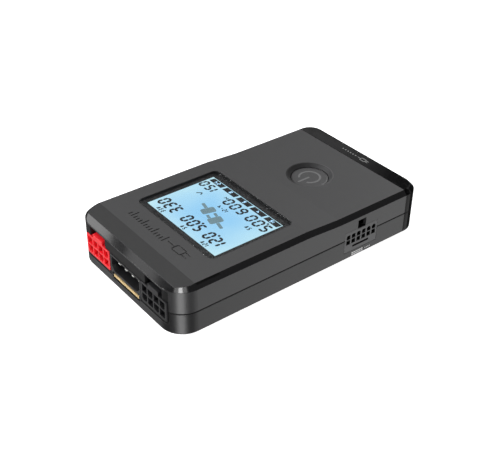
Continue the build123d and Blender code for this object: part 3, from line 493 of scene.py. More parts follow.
@dataclass(frozen=True)
class PlatedMetal:
    """Plated metal with rolling marks, dull patches and bright edges."""

    name: str
    colour: Colour
    roughness: float = 0.28
    stretch: tuple[float, float, float] = (1.0, 0.15, 1.0)
    mark_mm: float = 0.25
    metal: float = 1.0

    def material(self) -> bpy.types.Material:
        """The plated metal as nodes.

        Returns:
            The finished material.
        """
        sheet = Sheet(self.name)
        rounded = sheet.rounded(0.12)
        edge = sheet.edges(rounded)
        mark = sheet.noise(self.mark_mm, 4.0, 0.6, Vector(self.stretch))
        tarnish = sheet.noise(3.0, 3.0).above(0.5, 0.3)
        level = 1.0 - 0.14 * tarnish + 0.1 * (mark - 0.5) + 0.15 * edge
        return sheet.finish(
            Base_Color=sheet.tint(self.colour, level),
            Metallic=(self.metal - 0.08 * tarnish).clamped(),
            Roughness=(self.roughness + 0.16 * tarnish + 0.12 * (mark - 0.5)).clamped(),
            Normal=sheet.bump(mark, 0.004, rounded),
        )


@dataclass(frozen=True)
class ClearWindow:
    """A clear hard-coated window: nearly see-through, with wipe marks and bright rims."""

    name: str
    colour: Colour
    see: float = 0.1

    def material(self) -> bpy.types.Material:
        """The clear window as nodes.

        Returns:
            The finished material.
        """
        sheet = Sheet(self.name)
        wipe = sheet.noise(12.0, 3.0, 0.6, Vector((0.3, 1.0, 1.0)))
        hair = sheet.noise(1.2, 4.0, 0.7, Vector((1.0, 0.1, 1.0))).above(0.64, 0.1)
        return sheet.finish(
            Base_Color=sheet.tint(self.colour, 1.0 + 0.15 * (wipe - 0.5)),
            Roughness=(0.05 + 0.05 * wipe + 0.1 * hair).clamped(),
            Normal=sheet.bump(hair, 0.001, None, 0.3),
            Alpha=self.see,
            IOR=1.49,
        )


@dataclass(frozen=True)
class LitDisplay:
    """A backlit display cell: blue in the middle, paler towards its rim, with a faint pixel grid."""

    name: str
    middle: Colour
    rim: Colour
    centre: Point
    half: Point
    strength: float
    grid_pitch: float = 0.42 * MM

    def material(self) -> bpy.types.Material:
        """The lit cell as nodes.

        Returns:
            The finished material.
        """
        sheet = Sheet(self.name)
        across = ((sheet.axis("X") - self.centre[0]) / self.half[0]).size()
        along = ((sheet.axis("Y") - self.centre[1]) / self.half[1]).size()
        reach = (across ** 4.0 + along ** 4.0) ** 0.5
        cloud = sheet.noise(11.0, 2.0)
        glow = sheet.blend((0.75 * reach + 0.25 * (cloud - 0.5)).clamped(), self.middle, self.rim)
        grid_x = (sheet.axis("X") * (2 * math.pi / self.grid_pitch)).wave()
        grid_y = (sheet.axis("Y") * (2 * math.pi / self.grid_pitch)).wave()
        lattice = 1.0 - 0.035 * (grid_x * grid_y).size()
        return sheet.finish(
            Base_Color=sheet.tint(self.rim, 0.05 * lattice),
            Emission_Color=sheet.tint(glow, lattice),
            Emission_Strength=self.strength,
            Roughness=(0.25 + 0.1 * cloud).clamped(),
        )


@dataclass(frozen=True)
class PrintedInk:
    """A thin printed mark with a slightly uneven edge of ink."""

    name: str
    colour: Colour
    roughness: float = 0.45
    glow: float = 0.0

    def material(self) -> bpy.types.Material:
        """The ink as nodes.

        Returns:
            The finished material.
        """
        sheet = Sheet(self.name)
        mottle = sheet.noise(0.5, 3.0, 0.6)
        level = 1.0 + 0.22 * (mottle - 0.5)
        return sheet.finish(
            Base_Color=sheet.tint(self.colour, level),
            Emission_Color=sheet.tint(self.colour, level),
            Emission_Strength=self.glow,
            Roughness=(self.roughness + 0.15 * (mottle - 0.5)).clamped(),
            Normal=sheet.bump(mottle, 0.003, None, 0.5),
        )


@dataclass(frozen=True)
class HatchedInk:
    """Display segments drawn as a fine slanted hatch over the lit ground."""

    name: str
    ink: Colour
    ground: Colour
    pitch: float = 0.5 * MM
    slant: float = 0.35
    glow: float = 1.0

    def material(self) -> bpy.types.Material:
        """The hatch as nodes.

        Returns:
            The finished material.
        """
        sheet = Sheet(self.name)
        across = sheet.axis("X") + self.slant * sheet.axis("Y")
        stripe = (across * (2 * math.pi / self.pitch)).wave().above(-0.35, 0.5)
        mottle = sheet.noise(0.7, 2.0)
        colour = sheet.blend(stripe, self.ground, self.ink)
        return sheet.finish(
            Base_Color=sheet.tint(colour, 0.3),
            Emission_Color=sheet.tint(colour, 0.9 + 0.2 * mottle),
            Emission_Strength=self.glow,
            Roughness=(0.4 + 0.1 * mottle).clamped(),
        )


@dataclass(frozen=True)
class BoardMask:
    """Green solder mask with the faint relief of tracks below it."""

    name: str
    mask: Colour
    track: Colour
    lane_pitch: float = 1.3 * MM
    crossing_pitch: float = 1.7 * MM

    def material(self) -> bpy.types.Material:
        """The circuit board as nodes.

        Returns:
            The finished material.
        """
        sheet = Sheet(self.name)
        lanes = (sheet.axis("X") * (math.pi / self.lane_pitch)).wave().size().above(0.72, 0.06)
        crossing = (sheet.axis("Y") * (math.pi / self.crossing_pitch)).wave().size().above(0.78, 0.06)
        patch = sheet.noise(7.0, 1.0).above(0.5, 0.02)
        tracks = lanes * patch + crossing * (1.0 - patch)
        weave = sheet.noise(0.5, 2.0)
        return sheet.finish(
            Base_Color=sheet.tint(sheet.blend(0.8 * tracks, self.mask, self.track), 0.9 + 0.2 * weave),
            Roughness=(0.34 + 0.1 * weave).clamped(),
            Normal=sheet.bump(tracks, 0.03, sheet.rounded(0.1)),
        )


@dataclass(frozen=True)
class PaleSweep:
    """The studio's pale floor."""

    name: str
    colour: Colour
    glow: float

    def material(self) -> bpy.types.Material:
        """The floor as nodes.

        Returns:
            The finished material.
        """
        sheet = Sheet(self.name)
        cloud = sheet.noise(180.0, 2.0)
        return sheet.finish(
            Base_Color=sheet.tint(self.colour, 0.995 + 0.01 * cloud),
            Emission_Color=self.colour,
            Emission_Strength=self.glow,
            Roughness=(0.85 + 0.1 * cloud).clamped(),
        )


class Finish(Enum):
    """The finishes of the object's own pieces."""

    # The cover's second colour darkens its chamfer band as painted shade; both case materials carry painted
    # shade along the seam.
    COVER = CasePlastic("cover_grain", srgb(50, 50, 51), srgb(27, 27, 28))
    SHELL = CasePlastic("shell_grain", srgb(28, 28, 29), srgb(28, 28, 29))
    CAP = GlossPlastic("cap_gloss", srgb(4, 4, 5), 0.16, 0.3, 0.0, 0.08)
    PANEL = MouldedPlastic("panel_satin", srgb(13, 13, 14), 0.55)
    BORDER = PrintedInk("border_print", srgb(32, 32, 33), 0.35)
    WINDOW = ClearWindow("window_clear", srgb(16, 20, 24), 0.08)
    BUTTON = MouldedPlastic("button_grain", srgb(56, 56, 57), 0.42, 0.25, 0.008, 0.35, 1.4)
    SOCKET_RED = MouldedPlastic("socket_red", srgb(246, 34, 44), 0.36, 0.35, 0.006, 0.2, 1.5)
    SOCKET_BLACK = MouldedPlastic("socket_black", srgb(27, 27, 29), 0.42, 0.35, 0.006, 0.2, 1.7)
    # Its inside, behind mouth_x, is darkened as painted shade.
    SOCKET_GREY = MouldedPlastic("socket_grey", srgb(92, 92, 93), 0.5, 0.35, 0.006, 0.1, 2.0,
                                 mouth_x=36.95 * MM)
    SWITCH = MouldedPlastic("switch_black", srgb(30, 30, 30), 0.5)
    HOLDER = MouldedPlastic("holder_white", srgb(205, 203, 196), 0.5, 0.4)
    LIGHT_GUIDE = GlossPlastic("light_guide", srgb(225, 235, 245), 0.2, 0.2, 0.1)
    CHIP = MouldedPlastic("chip_resin", srgb(28, 28, 29), 0.55, 0.12, 0.01)
    CERAMIC = MouldedPlastic("chip_ceramic", srgb(150, 132, 108), 0.45, 0.2)
    CEMENT = MouldedPlastic("resistor_cement", srgb(214, 210, 200), 0.8, 0.35, 0.05)
    FERRITE = MouldedPlastic("inductor_ferrite", srgb(70, 70, 72), 0.6, 0.25, 0.02)
    SLEEVE = GlossPlastic("capacitor_sleeve", srgb(30, 38, 60), 0.25, 0.2, 0.2)
    STEEL = PlatedMetal("screw_steel", srgb(120, 120, 122), 0.35)
    TIN = PlatedMetal("tin_plate", srgb(244, 244, 240), 0.34, metal=0.35)
    GOLD = PlatedMetal("gold_plate", srgb(250, 218, 160), 0.42, (1.0, 0.1, 1.0), metal=0.4)
    FOIL = MouldedPlastic("label_foil", srgb(176, 178, 180), 0.35, 0.3, 0.004)
    BOARD = BoardMask("board_mask", srgb(16, 74, 44), srgb(40, 116, 70))
    SEGMENT = PrintedInk("segment_ink", srgb(3, 5, 9), 0.5)
    TAB_FIGURE = PrintedInk("tab_figure", srgb(160, 205, 235), 0.4, 1.0)
    HATCH = HatchedInk("segment_hatch", srgb(78, 98, 104), srgb(126, 158, 170))
    # The power symbol's lighter grey is a painted highlight.
    ICON = PrintedInk("button_icon", srgb(98, 98, 99), 0.4)
    MARK = PrintedInk("white_print", srgb(232, 232, 232), 0.5)
    CAP_MARK = PrintedInk("cap_print", srgb(132, 132, 132), 0.4)
    LABEL_LINE = PrintedInk("label_line", srgb(40, 40, 42), 0.5)


class Paints:
    """Each finish's material, made once and shared."""

    def __init__(self) -> None:
        """Starts with no material made."""
        self.made: dict[str, bpy.types.Material] = {}

    def get(self, finish: Any) -> bpy.types.Material:
        """The material of a finish.

        Args:
            finish: A member of Finish, or a finish by itself.

        Returns:
            Its material, which is made the first time.
        """
        recipe = finish.value if isinstance(finish, Finish) else finish
        if recipe.name not in self.made:
            self.made[recipe.name] = recipe.material()
        return self.made[recipe.name]

    def coat(self, piece: bpy.types.Object, finish: Any) -> None:
        """Gives a piece one finish all over."""
        piece.data.materials.clear()
        piece.data.materials.append(self.get(finish))


paints = Paints()


# ---------------------------------------------------------------- flat work
class Stencil:
    """Flat outlines in a plane, given thickness and joined into one mesh."""

    def __init__(self, name: str) -> None:
        """Starts with no outline."""
        self.name = name
        self.mesh = bmesh.new()

    def add(self, outline: Sequence[Point], thickness: float,
            hole: Optional[Sequence[Point]] = None) -> None:
        """Adds one outline.

        Args:
            outline: Its corners in order, in metres.
            thickness: How far it stands up.
            hole: An inner outline with as many corners, cut out of it.
        """
        if hole is not None:
            self.add_ring(outline, hole, thickness)
            return
        face = self.mesh.faces.new([self.mesh.verts.new((x, y, 0.0)) for x, y in outline])
        raised = bmesh.ops.extrude_face_region(self.mesh, geom=[face])
        tops = [item for item in raised["geom"] if isinstance(item, bmesh.types.BMVert)]
        bmesh.ops.translate(self.mesh, vec=(0.0, 0.0, thickness), verts=tops)

    def add_ring(self, outline: Sequence[Point], hole: Sequence[Point], thickness: float) -> None:
        """Adds an outline with a hole.

        Args:
            outline: The outer corners in order, in metres.
            hole: As many inner corners.
            thickness: How far it stands up.
        """
        rings = [[self.mesh.verts.new((x, y, z)) for x, y in loop]
                 for z in (0.0, thickness) for loop in (outline, hole)]
        low_out, low_in, high_out, high_in = rings
        count = len(outline)
        for i in range(count):
            j = (i + 1) % count
            for first, second in ((low_in, low_out), (high_out, high_in), (low_out, high_out),
                                  (high_in, low_in)):
                self.mesh.faces.new((first[i], first[j], second[j], second[i]))

    def add_border(self, centre: Point, size: Point, radius: float, line: float,
                   thickness: float) -> None:
        """Adds an even line round a rectangle with round corners.

        Args:
            centre: Its centre, in millimetres.
            size: Its outer width and height, in millimetres.
            radius: Its outer corner radius, in millimetres.
            line: The width of the line, in millimetres.
            thickness: How far it stands up, in metres.
        """
        width, height = size
        outer = rounded_box(centre, width, height, radius)
        inner = rounded_box(centre, width - 2 * line, height - 2 * line, radius - line)
        self.add(in_metres(outer), thickness, in_metres(inner))

    def placed(self, matrix: Matrix, body: str, finish: Any) -> bpy.types.Object:
        """Turns the outlines into a piece of the object.

        Args:
            matrix: Where the plane lies in the part's frame.
            body: The body it moves with.
            finish: Its finish.

        Returns:
            The piece.
        """
        bmesh.ops.recalc_face_normals(self.mesh, faces=self.mesh.faces[:])
        self.mesh.transform(matrix)
        data = bpy.data.meshes.new(self.name)
        self.mesh.to_mesh(data)
        self.mesh.free()
        piece = bpy.data.objects.new(self.name, data)
        bpy.context.scene.collection.objects.link(piece)
        paints.coat(piece, finish)
        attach(piece, body)
        log.info("built %s with %d faces", self.name, len(data.polygons))
        return piece


def arc(centre: Point, radius: float, start: float, stop: float, steps: int) -> list[Point]:
    """Points on an arc.

    Args:
        centre: Its centre.
        radius: Its radius.
        start: The first angle in degrees.
        stop: The last angle in degrees.
        steps: How many points.

    Returns:
        The points, first and last included.
    """
    turns = [math.radians(start + (stop - start) * i / (steps - 1)) for i in range(steps)]
    return [(centre[0] + radius * math.cos(t), centre[1] + radius * math.sin(t)) for t in turns]


def rounded_box(centre: Point, width: float, height: float, radius: float, steps: int = 5) -> list[Point]:
    """The outline of a rectangle with round corners, anticlockwise.

    Args:
        centre: Its centre.
        width: Its size along the first axis.
        height: Its size along the second axis.
        radius: The radius of its corners.
        steps: How many points each corner has.

    Returns:
        The points in order.
    """
    points: list[Point] = []
    for turn, (side, end) in enumerate(((1, 1), (-1, 1), (-1, -1), (1, -1))):
        corner = (centre[0] + side * (width / 2 - radius), centre[1] + end * (height / 2 - radius))
        points += arc(corner, radius, 90.0 * turn, 90.0 * turn + 90.0, steps)
    return points


def in_metres(outline: Iterable[Point]) -> list[Point]:
    """An outline in millimetres, given in metres."""
    return [(x * MM, y * MM) for x, y in outline]


def stroke(first: Point, second: Point, width: float) -> list[Point]:
    """The outline of a straight stroke with pointed ends, as display segments have.

    Args:
        first: Where it starts.
        second: Where it ends.
        width: How thick it is.

    Returns:
        Its six corners in order.
    """
    run = Vector(second) - Vector(first)
    along = run.normalized() * width / 2
    side = Vector((-along.y, along.x))
    a, b = Vector(first), Vector(second)
    corners = (a, a + along + side, b - along + side, b, b - along - side, a + along - side)
    return [(p.x, p.y) for p in corners]


# ---------------------------------------------------------------- display figures
class Segment(Enum):
    """The strokes of a figure on a grid one wide and two high."""

    TOP = ((0, 2), (1, 2))
    MIDDLE = ((0, 1), (1, 1))
    BOTTOM = ((0, 0), (1, 0))
    UPPER_LEFT = ((0, 1), (0, 2))
    UPPER_RIGHT = ((1, 1), (1, 2))
    LOWER_LEFT = ((0, 0), (0, 1))
    LOWER_RIGHT = ((1, 0), (1, 1))
    FALL = ((0, 2), (0.5, 0))
    RISE = ((0.5, 0), (1, 2))
    RIDGE_UP = ((0, 0), (0.5, 1.2))
    RIDGE_DOWN = ((0.5, 1.2), (1, 0))


S = Segment
FIGURES: dict[str, tuple[Segment, ...]] = {
    "0": (S.TOP, S.BOTTOM, S.UPPER_LEFT, S.UPPER_RIGHT, S.LOWER_LEFT, S.LOWER_RIGHT),
    "1": (S.UPPER_RIGHT, S.LOWER_RIGHT),
    "2": (S.TOP, S.UPPER_RIGHT, S.MIDDLE, S.LOWER_LEFT, S.BOTTOM),
    "3": (S.TOP, S.UPPER_RIGHT, S.MIDDLE, S.LOWER_RIGHT, S.BOTTOM),
    "4": (S.UPPER_LEFT, S.UPPER_RIGHT, S.MIDDLE, S.LOWER_RIGHT),
    "5": (S.TOP, S.UPPER_LEFT, S.MIDDLE, S.LOWER_RIGHT, S.BOTTOM),
    "6": (S.TOP, S.UPPER_LEFT, S.MIDDLE, S.LOWER_LEFT, S.LOWER_RIGHT, S.BOTTOM),
    "8": (S.TOP, S.MIDDLE, S.BOTTOM, S.UPPER_LEFT, S.UPPER_RIGHT, S.LOWER_LEFT, S.LOWER_RIGHT),
    "+": (S.MIDDLE,),
    "V": (S.FALL, S.RISE),
    "W": (S.UPPER_LEFT, S.LOWER_LEFT, S.RIDGE_UP, S.RIDGE_DOWN, S.LOWER_RIGHT, S.UPPER_RIGHT),
}


@dataclass(frozen=True)
class TypeSize:
    """The size of display figures in millimetres: stroke weight and step from one to the next."""

    height: float
    width: float
    weight: float
    pitch: float


class Type(Enum):
    """The display's sizes of figures."""

    RAIL = TypeSize(6.2, 3.5, 1.08, 4.5)
    DELAY = TypeSize(5.2, 3.2, 0.95, 4.1)
    LOAD = TypeSize(5.5, 3.6, 1.0, 4.7)
    STANDBY = TypeSize(5.8, 3.7, 1.0, 4.8)
    UNIT = TypeSize(1.9, 1.9, 0.36, 2.0)
    LABEL = TypeSize(2.4, 1.3, 0.5, 1.75)
    TAB = TypeSize(1.9, 1.2, 0.34, 1.7)


@dataclass(frozen=True)
class Reading:
    """A row of figures on the display.

    Its middle is in millimetres in the part's frame. The figures are read from the cap end.
    """

    name: str
    text: str
    middle: Point
    type: Type
    slant: float = 0.14
    segment_gap: float = 0.03

    def draw(self, stencil: Stencil, thickness: float) -> None:
        """Adds the figures to a stencil.

        Args:
            stencil: The stencil that takes them.
            thickness: How far they stand up, in metres.
        """
        size = self.type.value
        figures = [mark for mark in self.text if mark != "."]
        left = -(len(figures) - 1) * size.pitch / 2
        for mark in self.text:
            if mark == ".":
                self.draw_dot(stencil, thickness, left - size.pitch / 2)
                continue
            for part in FIGURES[mark]:
                first, second = (Vector(self.on_grid(point, left)) for point in part.value)
                gap = (second - first).normalized() * size.weight * self.segment_gap
                outline = stroke(tuple(first + gap), tuple(second - gap), size.weight)
                stencil.add(self.to_frame(outline), thickness)
            left += size.pitch

    def draw_dot(self, stencil: Stencil, thickness: float, across: float) -> None:
        """Adds a decimal point at the foot of the row.

        Args:
            stencil: The stencil that takes it.
            thickness: How far it stands up, in metres.
            across: Its place along the row, in millimetres.
        """
        size = self.type.value
        foot = -size.height / 2
        dot = rounded_box((across + self.slant * foot, foot), size.weight, size.weight, size.weight * 0.2, 2)
        stencil.add(self.to_frame(dot), thickness)

    def on_grid(self, point: Point, left: float) -> Point:
        """A grid point of a figure in reading coordinates, leaning to the right.

        Args:
            point: The point on the grid one wide and two high.
            left: The figure's place along the row.

        Returns:
            The point in millimetres around the reading's middle.
        """
        size = self.type.value
        high = (point[1] / 2 - 0.5) * (size.height - size.weight)
        return (left + (point[0] - 0.5) * (size.width - size.weight) + self.slant * high, high)

    def to_frame(self, outline: Iterable[Point]) -> list[Point]:
        """Reading coordinates to the part's X and Y in metres: right is -X and up is -Y."""
        return [((self.middle[0] - across) * MM, (self.middle[1] - up) * MM) for across, up in outline]


@dataclass
class Display:
    """The lit display behind its window, with its readings, tabs and centre symbol.

    Rows, tabs, the tick and the symbol are in millimetres, and lift, ink and top in metres. A
    symbol block has its middle, width, height and corner radius.
    """

    print_lift: float = 0.02 * MM
    ink: float = 0.05 * MM
    rail_row: float = -32.2
    rail_label_row: float = -37.2
    lower_row: float = -10.5
    lower_label_row: float = -16.1
    tab_row: float = -5.1
    tab_width: float = 9.0
    tab_height: float = 2.7
    tab_pitch: float = 9.7
    tab_lean: float = 0.6
    symbol_middle: Point = (0.3, -22.6)
    symbol_turn: float = -14.0
    symbol_blocks: tuple[tuple[Point, float, float, float], ...] = (
        ((3.6, 0.0), 4.4, 6.4, 0.9),
        ((-4.4, 0.0), 4.0, 6.4, 0.9),
        ((-0.1, -1.7), 2.6, 1.3, 0.3),
        ((-0.1, 1.7), 2.6, 1.3, 0.3),
        ((8.2, 0.0), 4.4, 1.5, 0.3),
        ((-8.6, 0.0), 4.0, 1.5, 0.3),
    )
    tick: tuple[Point, ...] = ((-16.2, -16.8), (-17.0, -15.2), (-18.8, -17.4))
    tick_weight: float = 0.5
    brightness: float = 1.06
    top: float = field(init=False)

    def __post_init__(self) -> None:
        """Finds the display's own top."""
        self.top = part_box("display_glass")[1].z + self.print_lift

    def layer(self, lift: float) -> Matrix:
        """The display's face, raised by a lift."""
        return Matrix.Translation((0.0, 0.0, self.top + lift))

    def readings(self) -> list[Reading]:
        """Every row of figures on the display.

        Returns:
            The readings, units and labels.
        """
        low = self.lower_row
        rows = [
            Reading("reading_first_rail", "3.30", (-17.0, self.rail_row), Type.RAIL),
            Reading("reading_second_rail", "5.00", (0.0, self.rail_row), Type.RAIL),
            Reading("reading_third_rail", "12.0", (15.8, self.rail_row), Type.RAIL),
            Reading("reading_delay", "150", (-18.6, low + 0.5), Type.DELAY),
            Reading("reading_load", "600", (0.7, low), Type.LOAD),
            Reading("reading_standby", "5.00", (16.6, low), Type.STANDBY),
            Reading("unit_load", "W", (-7.0, low + 0.9), Type.UNIT),
        ]
        for text, x in (("33V", -16.8), ("5V", 0.0), ("12V", 15.2)):
            rows.append(Reading(f"label_{text}", text, (x, self.rail_label_row), Type.LABEL))
        rows.append(Reading("label_5V_lower", "5V", (16.6, self.lower_label_row), Type.LABEL))
        rows.append(Reading("label_12+4", "12+4", (-0.9, self.lower_label_row + 0.3), Type.LABEL))
        return rows

    def build(self) -> None:
        """Makes the readings, the socket tabs and the centre symbol."""
        for reading in self.readings():
            stencil = Stencil(reading.name.replace("+", "_"))
            reading.draw(stencil, self.ink)
            stencil.placed(self.layer(0.0), "case", Finish.SEGMENT)
        self.build_tabs()
        self.build_symbol()
        self.build_tick()

    def build_tabs(self) -> None:
        """Five dark tabs along the rear edge, each with a contact count in light figures."""
        tabs = Stencil("socket_tabs")
        figures = Stencil("socket_tab_figures")
        half = self.tab_width / 2
        top = self.tab_row + self.tab_height / 2
        low = self.tab_row - self.tab_height / 2
        for i, count in enumerate(("24", "8", "6", "4", "16")):
            x = (i - 2) * self.tab_pitch
            corners = [(x - half, low), (x + half - self.tab_lean, low), (x + half, top),
                       (x - half + self.tab_lean, top)]
            tabs.add(in_metres(corners), self.ink)
            Reading("count", count, (x, self.tab_row), Type.TAB).draw(figures, self.ink)
        tabs.placed(self.layer(0.0), "case", Finish.SEGMENT)
        figures.placed(self.layer(self.ink), "case", Finish.TAB_FIGURE)

    def build_symbol(self) -> None:
        """A hatched plug and socket in the middle: two blocks, their prongs and leads."""
        symbol = Stencil("centre_symbol")
        for block in self.symbol_blocks:
            symbol.add(self.turned(rounded_box(*block)), self.ink)
        symbol.placed(self.layer(0.0), "case", Finish.HATCH)

    def turned(self, outline: Iterable[Point]) -> list[Point]:
        """An outline of the symbol, turned and put in its place.

        Args:
            outline: Its corners in millimetres around the symbol's middle.

        Returns:
            The corners in metres in the part's frame.
        """
        spin = Matrix.Rotation(math.radians(self.symbol_turn), 2)
        middle = Vector(self.symbol_middle)
        return in_metres(tuple(spin @ Vector(point) + middle) for point in outline)

    def build_tick(self) -> None:
        """A small tick by the delay reading, for a good signal."""
        tick = Stencil("signal_tick")
        for first, second in zip(self.tick, self.tick[1:]):
            tick.add(in_metres(stroke(first, second, self.tick_weight)), self.ink)
        tick.placed(self.layer(0.0), "case", Finish.SEGMENT)

    def dress(self) -> None:
        """Finishes the display's CAD nodes."""
        low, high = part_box("display_glass")
        half = ((high.x - low.x) / 2, (high.y - low.y) / 2)
        lit = LitDisplay("display_lit", srgb(150, 211, 252), srgb(205, 244, 252),
                         middle_of("display_glass"), half, self.brightness)
        dress({"display_glass": lit, "display_lens": Finish.WINDOW, "lens_border": Finish.BORDER,
               "display_backlight": Finish.LIGHT_GUIDE, "display_holder": Finish.HOLDER,
               "display_pins": Finish.TIN})


def dress(finishes: dict[str, Any]) -> None:
    """Gives CAD nodes their finishes.

    Args:
        finishes: Each node's name and its finish.
    """
    for node, finish in finishes.items():
        paints.coat(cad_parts[node], finish)
        log.info("dressed %s", node)


# ---------------------------------------------------------------- case, button, sockets, inside
@dataclass
class Case:
    """The shells, panel, glossy cap and their printed marks.

    Sizes are in millimetres, apart from the ink's thickness.
    """

    ink: float = 0.03 * MM
    line: float = 0.34
    line_radius: float = 0.1
    plug_x: float = 5.2
    plug_size: Point = (3.4, 2.2)
    plug_radius: float = 0.7
    plug_line: float = 0.35
    prong_x: float = 7.7
    prong_shift: float = 0.5
    prong_length: float = 1.6
    lead_x: float = 2.5
    lead_length: float = 2.0
    dots: int = 6
    first_dot_x: float = 0.2
    dot_size: float = 0.8
    dot_radius: float = 0.39
    dot_pitch: float = 1.7
    cap_row: float = 0.4
    cell_pitch: Point = (1.15, 1.0)
    cell_size: Point = (0.8, 0.68)
    cells_middle: float = -1.6
    cell_row: float = 1.1
    first_spot: float = 3.2
    spot_row: float = 1.6
    spot_pitch: float = 0.9
    spot_size: float = 0.55
    spot_radius: float = 0.26
    label_margin: float = 1.5
    label_border: float = 0.35
    label_radius: float = 1.2
    rules: int = 5
    rule_pitch: float = 7.0
    rule_inset: float = 5.0
    rule_line: float = 0.3

    def build(self) -> None:
        """Makes the printed marks on the cap, the side and the underside label."""
        self.build_cap_mark()
        self.build_side_mark()
        self.build_label_print()

    def build_cap_mark(self) -> None:
        """A small plug pictogram and a row of dots on the glossy cap."""
        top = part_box("end_cap_upper")[1].z
        y = middle_of("end_cap_upper")[1] / MM + self.cap_row
        mark = Stencil("cap_mark")
        mark.add_border((self.plug_x, y), self.plug_size, self.plug_radius, self.plug_line, self.ink)
        for x, shift, length in ((self.prong_x, -self.prong_shift, self.prong_length),
                                 (self.prong_x, self.prong_shift, self.prong_length),
                                 (self.lead_x, 0.0, self.lead_length)):
            bar = rounded_box((x, y + shift), length, self.line, self.line_radius, 2)
            mark.add(in_metres(bar), self.ink)
        for i in range(self.dots):
            middle = (self.first_dot_x - self.dot_pitch * i, y)
            dot = rounded_box(middle, self.dot_size, self.dot_size, self.dot_radius)
            mark.add(in_metres(dot), self.ink)
        mark.placed(Matrix.Translation((0, 0, top)), "case", Finish.CAP_MARK)

    def build_side_mark(self) -> None:
        """A grid of small squares under the graphics socket, one for each contact."""
        middle = middle_of("side_socket_housing")[1] / MM
        mark = Stencil("side_socket_mark")
        for column in range(6):
            for row in range(2):
                along = middle + self.cells_middle + (column - 2.5) * self.cell_pitch[0]
                cell = rounded_box((along, self.cell_row + row * self.cell_pitch[1]), *self.cell_size,
                                   self.line_radius, 2)
                mark.add(in_metres(cell), self.ink)
        for column in range(4):
            centre = (middle + self.first_spot + self.spot_pitch * column, self.spot_row)
            spot = rounded_box(centre, self.spot_size, self.spot_size, self.spot_radius)
            mark.add(in_metres(spot), self.ink)
        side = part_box("bottom_shell")[1].x
        onto_side = Matrix(((0, 0, 1, side), (1, 0, 0, 0), (0, 1, 0, 0), (0, 0, 0, 1)))
        mark.placed(onto_side, "case", Finish.MARK)

    def build_label_print(self) -> None:
        """A border line and blank fields on the underside label."""
        low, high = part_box("rating_label")
        x, y = (part / MM for part in middle_of("rating_label"))
        width = (high.x - low.x) / MM - 2 * self.label_margin
        height = (high.y - low.y) / MM - 2 * self.label_margin
        lines = Stencil("label_lines")
        lines.add_border((x, y), (width, height), self.label_radius, self.label_border, self.ink)
        for i in range(self.rules):
            middle = (x, y + (i - (self.rules - 1) / 2) * self.rule_pitch)
            rule = rounded_box(middle, width - self.rule_inset, self.rule_line, self.line_radius, 2)
            lines.add(in_metres(rule), self.ink)
        lines.placed(Matrix.Translation((0, 0, low.z - self.ink)), "case",
                     Finish.LABEL_LINE)

    def dress(self) -> None:
        """Finishes the case's CAD nodes."""
        dress({"top_cover": Finish.COVER, "bottom_shell": Finish.SHELL, "end_cap_upper": Finish.CAP,
               "end_cap_lower": Finish.CAP, "front_panel": Finish.PANEL, "rating_label": Finish.FOIL,
               "case_screws": Finish.STEEL})


@dataclass
class PowerButton:
    """The round button with its power symbol, a thin layer whose lighter grey is a painted highlight, and
    the switch below it.
    """

    ring_radius: float = 4.8 * MM
    line: float = 0.95 * MM
    gap_degrees: float = 66.0
    bar_inner: float = 0.2 * MM
    bar_outer: float = 6.9 * MM
    ink: float = 0.03 * MM
    steps: int = 48

    def build(self) -> None:
        """Makes the power symbol, open towards the display, as a thin layer painted lighter as a highlight.
        """
        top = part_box("power_button")[1].z
        centre = middle_of("power_button")
        start = -90.0 + self.gap_degrees / 2
        stop = 270.0 - self.gap_degrees / 2
        outer = arc(centre, self.ring_radius + self.line / 2, start, stop, self.steps)
        inner = arc(centre, self.ring_radius - self.line / 2, start, stop, self.steps)
        symbol = Stencil("power_symbol")
        for i in range(self.steps - 1):
            symbol.add([outer[i], outer[i + 1], inner[i + 1], inner[i]], self.ink)
        bmesh.ops.remove_doubles(symbol.mesh, verts=symbol.mesh.verts[:], dist=1e-6)
        inside = [face for face in symbol.mesh.faces if self.is_joint(face)]
        bmesh.ops.delete(symbol.mesh, geom=inside, context="FACES_ONLY")
        middle = -(self.bar_inner + self.bar_outer) / 2
        bar = rounded_box((centre[0], centre[1] + middle), self.line, self.bar_outer - self.bar_inner,
                          self.line * 0.3)
        symbol.add(bar, self.ink)
        symbol.placed(Matrix.Translation((0, 0, top)), "button", Finish.ICON)

    @staticmethod
    def is_joint(face: bmesh.types.BMFace) -> bool:
        """Whether a face is a wall shared by two pieces of the ring."""
        return all(len(edge.link_faces) > 2 for edge in face.edges)

    def dress(self) -> None:
        """Finishes the button's and switch's CAD nodes."""
        dress({"power_button": Finish.BUTTON, "switch_body": Finish.SWITCH,
               "switch_plunger": Finish.SOCKET_RED, "switch_dome": Finish.TIN})


@dataclass
class Sockets:
    """The output sockets on the front end and both long sides."""

    housings: dict[str, Finish] = field(default_factory=lambda: {
        "red_socket_housing": Finish.SOCKET_RED,
        "black_socket_housing": Finish.SOCKET_BLACK,
        "main_socket_housing": Finish.SOCKET_BLACK,
        "peripheral_housing": Finish.SOCKET_BLACK,
        "drive_housing": Finish.SOCKET_BLACK,
        "side_socket_housing": Finish.SOCKET_GREY,
    })
    contacts: dict[str, Finish] = field(default_factory=lambda: {
        "red_socket_pins": Finish.TIN,
        "black_socket_pins": Finish.TIN,
        "main_socket_pins": Finish.TIN,
        "peripheral_pins": Finish.TIN,
        "drive_contacts": Finish.GOLD,
        "side_socket_pins": Finish.GOLD,
        "signal_pins": Finish.GOLD,
    })

    def dress(self) -> None:
        """Finishes the sockets' CAD nodes."""
        dress(self.housings)
        dress(self.contacts)


